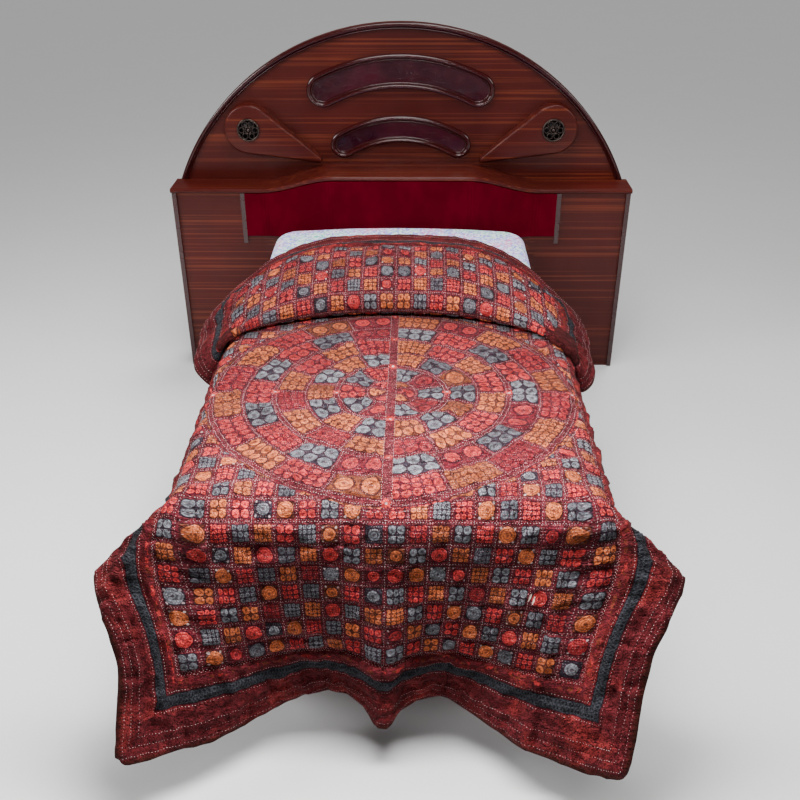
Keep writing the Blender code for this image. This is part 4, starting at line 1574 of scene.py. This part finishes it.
@dataclass
class Comforter(Maker):
    """The filled, quilted comforter on its drape."""

    drape: Drape = Drape()
    relief: Relief = Relief()
    cells_per_pitch: int = 8
    border_cells: int = 26
    rim_swell: float = 0.006
    corner: float = 0.030
    hem_in: float = 0.0035
    hem_wave: float = 0.0055
    wave_cells: float = 24
    wave_seed: int = 17
    fill: float = 0.35
    least_share: float = 0.45
    rim_cuts: int = 3
    stations: tuple[Array, Array] = field(init=False)
    middle: Array = field(init=False)
    normal: Array = field(init=False)
    half: Array = field(init=False)
    top: Array = field(init=False)

    def __post_init__(self) -> None:
        """Set the cutting stations and find the draped top."""
        plan = self.drape.layout
        step = plan.pitch / self.cells_per_pitch
        across = np.arange(plan.columns * self.cells_per_pitch + 1) * step
        border = np.linspace(plan.field_half, plan.half_width, self.border_cells + 1)
        across = np.concatenate([across, border[1:]])
        rows = plan.row_edge - np.arange(plan.rows * self.cells_per_pitch + 1) * step
        border = np.linspace(plan.half_length, plan.row_edge, self.border_cells + 1)
        along = np.concatenate([border[:-1], rows, [rows[-1] / 2, 0.0]])[::-1]
        self.stations = (np.concatenate([-across[:0:-1], across]),
                         np.concatenate([-along[:0:-1], along]))
        self.middle, self.normal = self.surface(*self.stations)
        grid_across, grid_along = np.meshgrid(*self.stations, indexing="ij")
        tips = np.array([self.drape.tip(value) for value in self.stations[0]])[:, None]
        self.half = self.drape.half_thickness(grid_across, grid_along)
        rise = self.relief.height(grid_across, grid_along, tips, self.drape.lip_along)
        raised = np.maximum(self.half + rise, self.half * self.least_share)
        self.top = self.middle + self.normal * raised[..., None]

    def surface(self, across: Array, along: Array) -> tuple[Array, Array]:
        """Middle surface and its normals on a grid.

        Args:
            across: stations across.
            along: stations along.

        Returns:
            Points and unit normals, across by along.
        """
        def moved(right: float, ahead: float) -> Array:
            """Middle surface at stations moved a little."""
            return np.array([self.drape.column(value + right, along + ahead) for value in across])

        small = self.drape.small
        right = moved(small, 0) - moved(-small, 0)
        return moved(0, 0), unit(np.cross(right, moved(0, small) - moved(0, -small)))

    def sample(self, grid: Array, across: Array, along: Array) -> Array:
        """Value of a grid at any place of the cloth.

        Args:
            grid: values at the stations.
            across: places across.
            along: places along.

        Returns:
            Values in between.
        """
        column = np.interp(across, self.stations[0], np.arange(len(self.stations[0])))
        row = np.interp(along, self.stations[1], np.arange(len(self.stations[1])))
        i = np.minimum(column.astype(int), len(self.stations[0]) - 2)
        j = np.minimum(row.astype(int), len(self.stations[1]) - 2)
        part_i = (column - i)[:, None]
        part_j = (row - j)[:, None]
        low = grid[i, j] * (1 - part_i) + grid[i + 1, j] * part_i
        high = grid[i, j + 1] * (1 - part_i) + grid[i + 1, j + 1] * part_i
        return low * (1 - part_j) + high * part_j

    def flat_cover(self) -> BMesh:
        """Flat closed cover: a fine top, a coarser underside and a rim.

        Returns:
            The cover in station numbers, with z 1 on top and -1 below.
        """
        columns = len(self.stations[0]) - 1
        rows = len(self.stations[1]) - 1
        bm = bmesh.new()
        lift = Matrix.Translation((0, 0, 1))
        bmesh.ops.create_grid(bm, x_segments=columns, y_segments=rows, size=1.0, matrix=lift)
        sink = Matrix.Translation((0, 0, -1))
        bmesh.ops.create_grid(bm, x_segments=columns // 2, y_segments=rows // 2, size=1.0,
                              matrix=sink)
        lower_rim = [edge for edge in bm.edges if edge.is_boundary and edge.verts[0].co.z < 0]
        bmesh.ops.subdivide_edges(bm, edges=lower_rim, cuts=1)
        rims = [edge for edge in bm.edges if edge.is_boundary]
        wall = bmesh.ops.bridge_loops(bm, edges=rims)["edges"]
        bmesh.ops.subdivide_edges(bm, edges=wall, cuts=self.rim_cuts)
        bmesh.ops.recalc_face_normals(bm, faces=bm.faces[:])
        return bm

    def build(self) -> Object:
        """Drape the cover.

        Returns:
            The comforter.
        """
        piece = place_mesh("quilted_comforter", self.flat_cover())
        mesh = piece.data
        flat = points_of(mesh)
        across, along = (np.interp((flat[:, axis] + 1) / 2 * (len(cuts) - 1),
                                   np.arange(len(cuts)), cuts)
                         for axis, cuts in enumerate(self.stations))
        level = flat[:, 2]
        near, inner = self.draw_in(across, along)
        middle = self.sample(self.middle, *near)
        normal = unit(self.sample(self.normal, *near))
        half = self.sample(self.half[..., None], *near)
        out = unit(middle - self.sample(self.middle, *inner))
        swell = self.rim_swell * np.sqrt(np.clip(1 - level ** 2, 0, 1))[:, None]
        place = middle + normal * half * level[:, None] + out * swell
        place = np.where((level > 1 - TINY)[:, None], self.sample(self.top, *near), place)
        attribute = mesh.attributes.new(CLOTH_PLACE, "FLOAT_VECTOR", "POINT")
        attribute.data.foreach_set("vector", np.stack([*near, level], 1).ravel())
        move_points(mesh, place)
        return piece

    def draw_in(self, across: Array, along: Array) -> tuple[tuple[Array, Array], ...]:
        """Round the corners of the cloth and draw its hem in between the stitches.

        Args:
            across: places across.
            along: places along.

        Returns:
            The drawn in places, and places a little further in from the hem.
        """
        plan = self.drape.layout
        wide = np.abs(across)
        length = np.abs(along)
        over_a = np.maximum(wide - plan.half_width + self.corner, 0)
        over_b = np.maximum(length - plan.half_length + self.corner, 0)
        scale = np.maximum(over_a, over_b) / (np.hypot(over_a, over_b) + TINY)
        both = (over_a > 0) & (over_b > 0)
        wide = np.where(both, wide - over_a * (1 - scale), wide)
        length = np.where(both, length - over_b * (1 - scale), length)
        reach = 4 * self.corner
        wave = rumple(along * self.wave_cells, across * self.wave_cells, self.wave_seed)
        pull = self.hem_in + self.hem_wave * np.abs(wave)
        wide = wide - pull * ease(reach, 0, plan.half_width - wide)
        length = length - pull * ease(reach, 0, plan.half_length - length)
        inner_a = wide - self.hem_in * (over_a > 0)
        inner_b = length - self.hem_in * (over_b > 0)
        signs = np.sign(across), np.sign(along)
        return (signs[0] * wide, signs[1] * length), (signs[0] * inner_a, signs[1] * inner_b)

    def finish(self) -> None:
        piece = self.build()
        self.dress(piece, Slot.PRINTED)
        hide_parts("comforter")


@dataclass
class Stitching(Maker):
    """White running stitches that follow the print."""

    comforter: Comforter
    period: float = 0.0070
    length: float = 0.0027
    width: float = 0.0013
    height: float = 0.0009
    stray: float = 0.0005
    play: Pair = (0.75, 1.25)
    lift: float = 0.25
    clear: float = 0.006
    seed: int = 21
    border_rows: tuple[float, ...] = (0.016, 0.034, 0.054, 0.096, 0.135, 0.167)

    def straight(self, start: Pair, end: Pair) -> Array:
        """Stitch places on a straight line.

        Args:
            start: across and along of its start.
            end: across and along of its end.

        Returns:
            Rows of across, along and direction.
        """
        reach = math.dist(start, end)
        count = max(int(reach / self.period), 1)
        share = (np.arange(count) + 0.5) / count
        way = np.array(end) - np.array(start)
        places = np.array(start) + share[:, None] * way
        return np.hstack([places, np.tile(way / reach, (count, 1))])

    def arc(self, radius: float, side: Side) -> Array:
        """Stitch places on one half of a ring.

        Args:
            radius: radius of the ring.
            side: half of the comforter.

        Returns:
            Rows of across, along and direction.
        """
        count = int(math.pi * radius / self.period)
        turn = (np.arange(count) + 0.5) / count * math.pi - math.pi / 2
        return np.stack([side.value * radius * np.cos(turn), radius * np.sin(turn),
                         -side.value * np.sin(turn), np.cos(turn)], axis=1)

    def squares(self) -> Array:
        """Stitches along every lane of the squares.

        Returns:
            Rows of across, along and direction.
        """
        plan = self.comforter.drape.layout
        rows = []
        for column in range(-plan.columns, plan.columns + 1):
            x = column * plan.pitch
            rows.append(self.straight((x, -plan.row_edge), (x, plan.row_edge)))
        for row in range(plan.rows + 1):
            y = plan.row_edge - row * plan.pitch
            for sign in (-1, 1):
                rows.append(self.straight((-plan.field_half, sign * y),
                                          (plan.field_half, sign * y)))
        places = np.vstack(rows)
        return places[np.hypot(places[:, 0], places[:, 1]) > plan.round_radius + self.clear]

    def rounds(self) -> Array:
        """Stitches along the rings, the spokes and the middle lane of the round.

        Returns:
            Rows of across, along and direction.
        """
        plan = self.comforter.drape.layout
        rows = []
        for side in Side:
            for ring in range(-1, plan.ring_count + 1):
                radius = plan.ring_radius(ring)
                if ring % 2:
                    rows.append(self.arc(radius, side))
                    continue
                for sign in (-1, 1):
                    rows.append(self.arc(radius + sign * plan.ring_gap / 3, side))
            rows.append(self.arc(plan.round_radius + plan.ring_gap / 2, side))
            for ring in range(-1, plan.ring_count):
                parts = plan.parts(ring)
                inner = plan.ring_radius(ring)
                for part in range(1, parts):
                    turn = math.pi * (part / parts - 0.5)
                    way = (side.value * math.cos(turn), math.sin(turn))
                    outer = inner + plan.ring_step
                    rows.append(self.straight((way[0] * inner, way[1] * inner),
                                              (way[0] * outer, way[1] * outer)))
        places = np.vstack(rows)
        places = places[np.abs(places[:, 0]) > plan.middle_lane]
        seams = [self.straight((side.value * plan.middle_lane, -plan.round_radius),
                               (side.value * plan.middle_lane, plan.round_radius))
                 for side in Side]
        return np.vstack([places, *seams])

    def border(self) -> Array:
        """Stitches in rows that follow the hem.

        Returns:
            Rows of across, along and direction.
        """
        plan = self.comforter.drape.layout
        rows = []
        for inset in self.border_rows:
            x = plan.half_width - inset
            y = plan.half_length - inset
            for sign in (-1, 1):
                rows.append(self.straight((-x, sign * y), (x, sign * y)))
                rows.append(self.straight((sign * x, -y), (sign * x, y)))
        return np.vstack(rows)

    def bead(self) -> tuple[Array, list[tuple[int, ...]]]:
        """One stitch of thread, made once from a low ball.

        Returns:
            Its points and faces, 1 long, 1 wide and 1 high.
        """
        bm = bmesh.new()
        bmesh.ops.create_uvsphere(bm, u_segments=4, v_segments=3, radius=0.5)
        bmesh.ops.rotate(bm, verts=bm.verts[:], cent=(0, 0, 0),
                         matrix=Matrix.Rotation(math.pi / 2, 3, "Y"))
        points = np.array([vert.co[:] for vert in bm.verts])
        faces = [tuple(vert.index for vert in face.verts) for face in bm.faces]
        bm.free()
        return points, faces

    def sew(self, name: str, places: Array) -> None:
        """Set one stitch at each place and join them.

        Args:
            name: name of the piece.
            places: rows of across, along and direction.
        """
        points, faces = self.bead()
        chance = np.random.default_rng(self.seed + len(places))
        count = len(places)
        stray = chance.normal(0.0, self.stray, (count, 2))
        across = places[:, 0] + stray[:, 0]
        along = places[:, 1] + stray[:, 1]
        sew = self.comforter.sample
        top = self.comforter.top
        seat = sew(top, across, along)
        small = self.comforter.drape.small
        run = sew(top, across + places[:, 2] * small, along + places[:, 3] * small)
        run = unit(run - sew(top, across - places[:, 2] * small, along - places[:, 3] * small))
        up = sew(self.comforter.normal, across, along)
        up = unit(up - run * np.sum(up * run, axis=1, keepdims=True))
        wide = np.cross(up, run)
        length = self.length * chance.uniform(*self.play, (count, 1, 1))
        cloud = (seat[:, None, :] + run[:, None, :] * points[None, :, :1] * length
                 + wide[:, None, :] * points[None, :, 1:2] * self.width
                 + up[:, None, :] * (points[None, :, 2:] * self.height + self.height * self.lift))
        shift = np.arange(count)[:, None] * len(points)
        rings = [[index + start for index in face] for start in shift[:, 0] for face in faces]
        mesh = bpy.data.meshes.new(name)
        mesh.from_pydata(cloud.reshape(-1, 3), [], rings)
        mesh.shade_smooth()
        self.dress(add_object(name, mesh), Slot.PRINTED, self.finishes.thread)

    def finish(self) -> None:
        """Sew the three groups of stitches."""
        self.sew("stitches_squares", self.squares())
        self.sew("stitches_round", self.rounds())
        self.sew("stitches_border", self.border())


# bed


@dataclass
class Mattress(Maker):
    """Mattress in its speckled sheet, with soft edges and small wrinkles."""

    half_width: float = 0.500
    length: float = 1.865
    thick: float = 0.200
    edge: float = 0.038
    corner: float = 0.084
    cell: float = 0.018
    wrinkle: float = 0.0035
    crown: float = 0.020
    corner_steps: int = 6
    crown_back: Pair = (0.25, 0.05)
    fold_bias: float = 0.4
    # cells per metre level and upright, seed, share
    folds: Rows = ((11, 23, 31, 1.0), (26, 40, 33, 0.5))
    fill: float = 0.9

    def cuts(self, half: float, reach: float) -> list[float]:
        """Places of the cuts along one side, denser near its ends.

        Args:
            half: half the side.
            reach: rounded part at each end.

        Returns:
            Places between the ends.
        """
        plain = np.linspace(-half + reach, half - reach,
                            max(int(2 * (half - reach) / self.cell), 1) + 1)
        turn = half - reach + reach * np.linspace(0, 1, self.corner_steps + 1)[1:-1]
        return sorted([*plain, *turn, *(-turn)])

    def block(self) -> BMesh:
        """Box cut into small cells.

        Returns:
            The cut box around the origin.
        """
        bm = bmesh.new()
        half = Vector((self.half_width, self.length / 2, self.thick / 2))
        bmesh.ops.create_cube(bm, size=2.0, matrix=Matrix.Diagonal((*half, 1.0)))
        for axis, reach in enumerate((self.corner, self.corner, self.edge)):
            normal = Vector((0, 0, 0))
            normal[axis] = 1.0
            for place in self.cuts(half[axis], reach):
                bmesh.ops.bisect_plane(bm, geom=bm.verts[:] + bm.edges[:] + bm.faces[:],
                                       plane_co=normal * place, plane_no=normal)
        return bm

    def rounded(self, points: Array) -> Array:
        """Bring points of the box onto its rounded form.

        Args:
            points: points on the box.

        Returns:
            Points on the rounded box.
        """
        half = np.array([self.half_width, self.length / 2])
        plan = points[:, :2]
        core = np.clip(plan, -(half - self.corner), half - self.corner)
        off = plan - core
        reach = np.max(np.abs(off), axis=1)
        way = off / (np.linalg.norm(off, axis=1, keepdims=True) + TINY)
        rise = np.abs(points[:, 2]) - (self.thick / 2 - self.edge)
        out = reach - (self.corner - self.edge)
        both = (rise > 0) & (out > 0)
        scale = np.where(both, np.maximum(rise, out) / (np.hypot(rise, out) + TINY), 1.0)
        reach = np.where(both, self.corner - self.edge + out * scale, reach)
        height = np.where(both, self.thick / 2 - self.edge + rise * scale, np.abs(points[:, 2]))
        plan = core + way * reach[:, None]
        return np.column_stack([plan, np.sign(points[:, 2]) * height])

    def finish(self) -> None:
        bm = self.block()
        clean(bm)
        piece = place_mesh("mattress_in_sheet", bm)
        points = self.rounded(points_of(piece.data))
        middle = np.array([0.0, self.length / 2 - FRAME_Y, BED_TOP - self.thick / 2])
        fold = sum(share * rumple(points[:, 0] * wide, points[:, 1] * wide + points[:, 2] * high,
                                  seed) for wide, high, seed, share in self.folds)
        depth = np.clip(fold + self.fold_bias, 0, 2) * self.wrinkle / 2
        points = points - unit(points) * depth[:, None]
        low, high = (self.length / 2 - back for back in self.crown_back)
        crown = ease(low, high, points[:, 1])
        crown = crown * (1 - np.clip(np.abs(points[:, 0]) / self.half_width, 0, 1) ** 2)
        points[:, 2] += self.crown * crown * ease(0.0, self.thick / 2, points[:, 2])
        move_points(piece.data, points + middle)
        self.dress(piece, Slot.SHEET)
        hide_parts("mattress")


@dataclass
class Pillow(Maker):
    """Soft pillow in the same sheet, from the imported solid's own form."""

    wrinkle: float = 0.003
    fold_cells: float = 17
    fold_bias: float = 0.3
    seed: int = 41
    join_angle: float = 3.2
    smoothing: float = 0.3
    levels: int = 2
    fill: float = 0.6

    def finish(self) -> None:
        bm = bmesh.new()
        bm.from_mesh(frame["nodes"]["pillow"].data)
        clean(bm)
        bmesh.ops.join_triangles(bm, faces=bm.faces[:], angle_face_threshold=self.join_angle,
                                 angle_shape_threshold=self.join_angle)
        bmesh.ops.smooth_vert(bm, verts=bm.verts[:], factor=self.smoothing, use_axis_x=True,
                              use_axis_y=True, use_axis_z=True)
        bm.normal_update()
        for vert in bm.verts:
            place = np.array([[vert.co.x], [vert.co.y + vert.co.z]]) * self.fold_cells
            fold = float(rumple(*place, self.seed)[0])
            vert.co -= vert.normal * max(fold + self.fold_bias, 0.0) * self.wrinkle
        piece = place_mesh("pillow_in_sheet", bm)
        surface = piece.modifiers.new("soft", "SUBSURF")
        surface.levels = self.levels
        surface.render_levels = self.levels
        self.dress(piece, Slot.SHEET)
        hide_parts("pillow")


# headboard


@dataclass
class Arch(Maker):
    """Rounded moulding along the arched board."""

    front: float = BOARD_FACE
    half_width: float = 0.920
    foot: float = BED_TOP + 0.148
    rise: float = 0.617
    cut_height: float = BED_TOP + 0.130 + 0.018 + 2 * GAP
    wide: float = 0.026
    proud: float = 0.016
    steps: int = 120
    overrun: float = math.radians(4)
    sharp: float = math.radians(50)
    section: Rows = (
        # inward share, proud share
        (0.00, 0.0), (0.00, 0.62), (0.05, 0.82), (0.14, 0.95), (0.26, 1.00), (0.40, 0.98),
        (0.52, 0.88), (0.60, 0.70), (0.64, 0.46), (0.68, 0.44), (0.72, 0.60), (0.80, 0.68),
        (0.89, 0.62), (0.96, 0.44), (1.00, 0.20), (1.00, 0.0),
    )

    def finish(self) -> None:
        """Spin the section round the arch and cut it off at its foot."""
        radius = (self.half_width ** 2 + self.rise ** 2) / (2 * self.rise)
        middle = Vector((0.0, self.front, self.foot + self.rise - radius))
        start = math.asin(self.half_width / radius) + self.overrun
        bm = bmesh.new()
        turned = Matrix.Rotation(start, 4, "Y")
        verts = [bm.verts.new(middle + turned @ Vector((0.0, -self.proud * proud,
                                                       radius - self.wide * inward)))
                 for inward, proud in self.section]
        ring = bm.faces.new(verts)
        bmesh.ops.spin(bm, geom=[ring, *ring.edges, *ring.verts], cent=middle,
                       axis=(0, 1, 0), angle=-2 * start, steps=self.steps)
        cut = bmesh.ops.bisect_plane(bm, geom=bm.verts[:] + bm.edges[:] + bm.faces[:],
                                     plane_co=(0, 0, self.cut_height), plane_no=(0, 0, 1),
                                     clear_inner=True)
        rim = [part for part in cut["geom_cut"] if isinstance(part, BMEdge)]
        bmesh.ops.edgenet_fill(bm, edges=rim)
        clean(bm)
        piece = place_mesh("arch_moulding", bm)
        piece.data.set_sharp_from_angle(angle=self.sharp)
        self.dress(piece, Slot.TRIM)
        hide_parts("headboard_rim")


@dataclass
class InsetMoulding(Maker):
    """Beaded moulding round one bean shaped inset."""

    name: str
    radius: float
    half_high: float
    end_x: float
    middle_z: float = BED_TOP - 0.107
    front: float = BOARD_FACE
    wide: float = 0.026
    proud: float = 0.017
    arc_steps: int = 40
    end_steps: int = 20
    strip_corners: int = 8
    sharp: float = math.radians(60)
    # inset and rise of each step of the bead, as shares of wide and proud
    bead: Rows = (
        (0.00, 0.55), (0.06, 0.20), (0.10, 0.15), (0.14, 0.10), (0.16, 0.0), (0.12, -0.12),
        (0.08, -0.26), (0.05, -0.08), (0.06, 0.10), (0.08, 0.04), (0.08, -0.08), (0.06, -0.16),
    )

    def outline(self, bm: BMesh) -> BMFace:
        """Bean shaped face, spun from two short ends.

        Args:
            bm: mesh that gets the face.

        Returns:
            The face.
        """
        sweep = math.asin(self.end_x / self.radius)
        centre = Vector((0.0, self.front, self.middle_z))
        points = []
        for sign in (1, -1):
            size = self.radius + sign * self.half_high
            for step in range(self.arc_steps + 1):
                turn = sign * sweep * (1 - 2 * step / self.arc_steps)
                points.append(centre + Vector((size * math.sin(turn), 0, size * math.cos(turn))))
            tip = centre + Vector((-sign * self.end_x, 0, self.radius * math.cos(sweep)))
            first = -sweep if sign > 0 else sweep + math.pi
            for step in range(1, self.end_steps):
                turn = first - math.pi * step / self.end_steps
                points.append(tip + Vector((self.half_high * math.sin(turn), 0,
                                            self.half_high * math.cos(turn))))
        return bm.faces.new([bm.verts.new(point) for point in points])

    def finish(self) -> None:
        """Inset the outline step by step into a beaded ring."""
        bm = bmesh.new()
        face = self.outline(bm)
        base = face.edges[:]
        face.normal_update()
        if face.normal.y > 0:
            face.normal_flip()
        face = extruded(bm, face)
        rise = Vector((0, -self.proud, 0))
        bmesh.ops.translate(bm, verts=face.verts[:], vec=rise * self.bead[0][1])
        for inset, lift in self.bead[1:]:
            bmesh.ops.inset_region(bm, faces=[face], thickness=inset * self.wide,
                                   use_even_offset=True)
            bmesh.ops.translate(bm, verts=face.verts[:], vec=rise * lift)
        lowered = extruded(bm, face)
        if face.is_valid:
            bmesh.ops.delete(bm, geom=[face], context="FACES_ONLY")
        face = lowered
        sink = self.front - face.verts[0].co.y
        bmesh.ops.translate(bm, verts=face.verts[:], vec=(0, sink, 0))
        inner = face.edges[:]
        bmesh.ops.delete(bm, geom=[face], context="FACES_ONLY")
        outer = [edge for edge in base if edge.is_valid]
        for flat in [part for part in bm.faces if len(part.verts) > self.strip_corners]:
            bmesh.ops.delete(bm, geom=[flat], context="FACES_ONLY")
        bmesh.ops.bridge_loops(bm, edges=outer + inner)
        clean(bm)
        piece = place_mesh(f"inset_moulding_{self.name}", bm)
        piece.data.set_sharp_from_angle(angle=self.sharp)
        self.dress(piece, Slot.TRIM)
        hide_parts(f"inset_rim_{self.name}")


@dataclass
class Wing(Maker):
    """Drop shaped wing with soft edges and the openwork rosette on it."""

    side: Side
    x: float = 0.615
    height: float = BED_TOP + 0.362
    radius: float = 0.098
    tip_x: float = 0.325
    tip_low: float = BED_TOP + 0.228
    tip_high: float = BED_TOP + 0.246
    thick: float = 0.045
    front: float = BOARD_FACE
    steps: int = 48
    soft: float = 0.010
    soft_steps: int = 5
    sharp: float = math.radians(40)
    rose_radius: float = 0.046
    wire: float = 0.0036
    back: float = 0.0012
    petals: int = 6
    petal_reach: float = 0.585
    boss: float = 0.15
    boss_flat: float = 0.75
    wire_sides: int = 8
    # radius and wire as shares of the rosette's, and steps round
    core_hoop: tuple[float, float, int] = (0.27, 0.7, 20)
    petal_hoop: tuple[float, float, int] = (0.235, 0.6, 14)

    def outline(self) -> list[Vector]:
        """Outline of the wing on the board's face.

        Returns:
            Its corners, round the drop.
        """
        ends = ((self.tip_x, self.tip_high), (self.tip_x, self.tip_low))
        angles = []
        for (end_x, end_z), sign in zip(ends, (1, -1)):
            run = self.x - end_x
            rise = self.height - end_z
            swing = math.acos(self.radius / math.hypot(run, rise))
            angles.append(math.atan2(rise, run) + math.pi - sign * swing)
        start, end = angles
        start += 2 * math.pi if start < end else 0.0
        points = [ends[0]]
        for step in range(self.steps + 1):
            turn = start + (end - start) * step / self.steps
            points.append((self.x + self.radius * math.cos(turn),
                           self.height + self.radius * math.sin(turn)))
        points.append(ends[1])
        return [Vector((self.side.value * x, self.front, z)) for x, z in points]

    def slab(self) -> None:
        """Raise the outline and soften its front edge."""
        bm = bmesh.new()
        face = bm.faces.new([bm.verts.new(point) for point in self.outline()])
        bmesh.ops.translate(bm, verts=extruded(bm, face).verts[:], vec=(0, -self.thick, 0))
        clean(bm)
        limit = self.front - self.thick / 2
        edges = [edge for edge in bm.edges if all(vert.co.y < limit for vert in edge.verts)]
        bmesh.ops.bevel(bm, geom=edges, offset=self.soft, offset_type="OFFSET",
                        segments=self.soft_steps, profile=0.5, affect="EDGES", material=-1,
                        clamp_overlap=True)
        clean(bm)
        piece = place_mesh(f"wing_{self.side.word}", bm)
        piece.data.set_sharp_from_angle(angle=self.sharp)
        self.dress(piece, Slot.LAMINATE)
        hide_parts(f"headboard_wing_{self.side.word}")

    def hoop(self, bm: BMesh, centre: Vector, size: float, tube: float, steps: int) -> None:
        """Ring of round wire that faces the foot of the bed.

        Args:
            bm: mesh that gets the ring.
            centre: middle of the ring.
            size: radius of the ring.
            tube: radius of the wire.
            steps: steps round the ring.
        """
        place = Matrix.Translation(centre + Vector((size, 0, 0)))
        start = bmesh.ops.create_circle(bm, segments=self.wire_sides, radius=tube,
                                        matrix=place)["verts"]
        edges = list({edge for vert in start for edge in vert.link_edges})
        bmesh.ops.spin(bm, geom=start + edges, cent=centre, axis=(0, 1, 0),
                       angle=2 * math.pi, steps=steps, use_merge=True)

    def rosette(self) -> None:
        """Openwork rosette: back plate, two hoops, a ring of small hoops and a boss."""
        bm = bmesh.new()
        size = self.rose_radius
        tube = self.wire
        face = self.front - self.thick - GAP
        centre = Vector((self.side.value * self.x, face - tube, self.height))
        back = Matrix.Translation((centre.x, face - self.back / 2, centre.z))
        back = back @ Matrix.Rotation(math.pi / 2, 4, "X")
        bmesh.ops.create_cone(bm, cap_ends=True, segments=32, radius1=size - tube,
                              radius2=size - tube, depth=self.back, matrix=back)
        self.hoop(bm, centre, size - tube, tube, 40)
        share, wire, steps = self.core_hoop
        self.hoop(bm, centre, size * share, tube * wire, steps)
        share, wire, steps = self.petal_hoop
        for petal in range(self.petals):
            turn = 2 * math.pi * petal / self.petals
            way = Vector((math.cos(turn), 0, math.sin(turn)))
            self.hoop(bm, centre + way * size * self.petal_reach, size * share, tube * wire, steps)
        boss = Matrix.Translation(centre) @ Matrix.Diagonal((1.0, self.boss_flat, 1.0, 1.0))
        bmesh.ops.create_uvsphere(bm, u_segments=16, v_segments=10,
                                  radius=size * self.boss, matrix=boss)
        clean(bm)
        piece = place_mesh(f"rosette_{self.side.word}", bm)
        self.dress(piece, Slot.BRONZE)
        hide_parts(f"headboard_rosette_{self.side.word}")

    def finish(self) -> None:
        """Build and dress the wing and its rosette."""
        self.slab()
        self.rosette()


@dataclass
class KeptNodes(Maker):
    """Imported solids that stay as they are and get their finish."""

    def finish(self) -> None:
        """Put the finish of each record slot on the nodes that still show."""
        slots = {part["node"]: Slot(part["material_slot"]) for part in frame["record"]["subparts"]}
        for name, node in frame["nodes"].items():
            if node.hide_render or name not in slots:
                continue
            node.data.materials.clear()
            node.data.materials.append(self.finishes.made[slots[name]])
            LOG.info("%s keeps its solid", name)


# studio


@dataclass
class Studio(Maker):
    """Camera at the photo's angle, pale floor and soft lights."""

    place: Triple = (0.069, -1.826 - FRAME_Y, 1.348 + BED_TOP)
    pitch: float = math.radians(30.2)
    yaw: float = math.radians(-1.13)
    roll: float = math.radians(-0.27)
    focal: float = 42.75
    sensor: float = 36.0
    floor_half: float = 30.0
    world: float = 0.09
    sun_from: Triple = (0.25, 0.30, 1.0)
    sun_angle: float = math.radians(22)
    sun_strength: float = 1.35
    # name, place, aimed at, width, depth, watts
    lamps: tuple[tuple[str, Triple, Triple, float, float, float], ...] = (
        ("overhead", (0.0, 0.20, 3.0), (0.0, 0.10, 0.5), 1.6, 1.6, 46.0),
        ("above_foot", (0.0, -0.82, 1.60), (0.0, -0.82, 0.5), 1.3, 0.3, 49.0),
        ("left", (-2.8, -0.4, 2.4), (0.0, 0.0, 0.7), 1.6, 1.6, 80.0),
        ("right", (2.8, -0.4, 2.4), (0.0, 0.0, 0.7), 1.6, 1.6, 36.0),
    )

    def camera(self) -> None:
        """Set the camera where the photo's was."""
        cos_pitch = math.cos(self.pitch)
        ahead = Vector((math.sin(self.yaw) * cos_pitch, math.cos(self.yaw) * cos_pitch,
                        -math.sin(self.pitch)))
        right = ahead.cross(Vector((0, 0, 1))).normalized()
        up = right.cross(ahead)
        level = math.cos(self.roll) * right + math.sin(self.roll) * up
        upright = -math.sin(self.roll) * right + math.cos(self.roll) * up
        data = bpy.data.cameras.new("photo_camera")
        data.lens = self.focal
        data.sensor_width = self.sensor
        camera = add_object("photo_camera", data)
        matrix = Matrix((level, upright, -ahead)).transposed().to_4x4()
        matrix.translation = Vector(self.place)
        camera.matrix_world = matrix
        bpy.context.scene.camera = camera

    def floor(self) -> None:
        """Lay the plain pale floor."""
        bm = bmesh.new()
        bmesh.ops.create_grid(bm, x_segments=1, y_segments=1, size=self.floor_half)
        piece = place_mesh("studio_floor", bm, smooth=False)
        piece.data.materials.append(self.finishes.floor)

    def light(self) -> None:
        """Hang the soft lamps and light the world."""
        for name, place, target, width, depth, watts in self.lamps:
            data = bpy.data.lights.new(name, "AREA")
            data.shape = "ELLIPSE"
            data.size = width
            data.size_y = depth
            data.energy = watts
            lamp = add_object(name, data)
            lamp.location = place
            way = Vector(target) - Vector(place)
            lamp.rotation_euler = way.to_track_quat("-Z", "Y").to_euler()
        sun = bpy.data.lights.new("soft_sun", "SUN")
        sun.energy = self.sun_strength
        sun.angle = self.sun_angle
        lamp = add_object("soft_sun", sun)
        lamp.rotation_euler = Vector(self.sun_from).to_track_quat("Z", "Y").to_euler()
        world = bpy.data.worlds.new("studio_world")
        world.use_nodes = True
        back = world.node_tree.nodes["Background"]
        back.inputs["Color"].default_value = (1.0, 1.0, 1.0, 1.0)
        back.inputs["Strength"].default_value = self.world
        bpy.context.scene.world = world

    def finish(self) -> None:
        """Set up the whole studio."""
        self.camera()
        self.floor()
        self.light()


def main() -> None:
    """Build every piece in order."""
    logging.basicConfig(level=logging.INFO, format="%(name)s: %(message)s")
    finishes = Finishes()
    comforter = Comforter(finishes)
    makers = [
        Studio(finishes), comforter, Stitching(finishes, comforter), Mattress(finishes),
        Pillow(finishes), Arch(finishes),
        InsetMoulding(finishes, "upper", radius=0.690, half_high=0.0665, end_x=0.310),
        InsetMoulding(finishes, "lower", radius=0.463, half_high=0.0540, end_x=0.233),
        *(Wing(finishes, side) for side in Side), KeptNodes(finishes),
    ]
    for maker in makers:
        maker.finish()


if __name__ == "__main__":
    main()
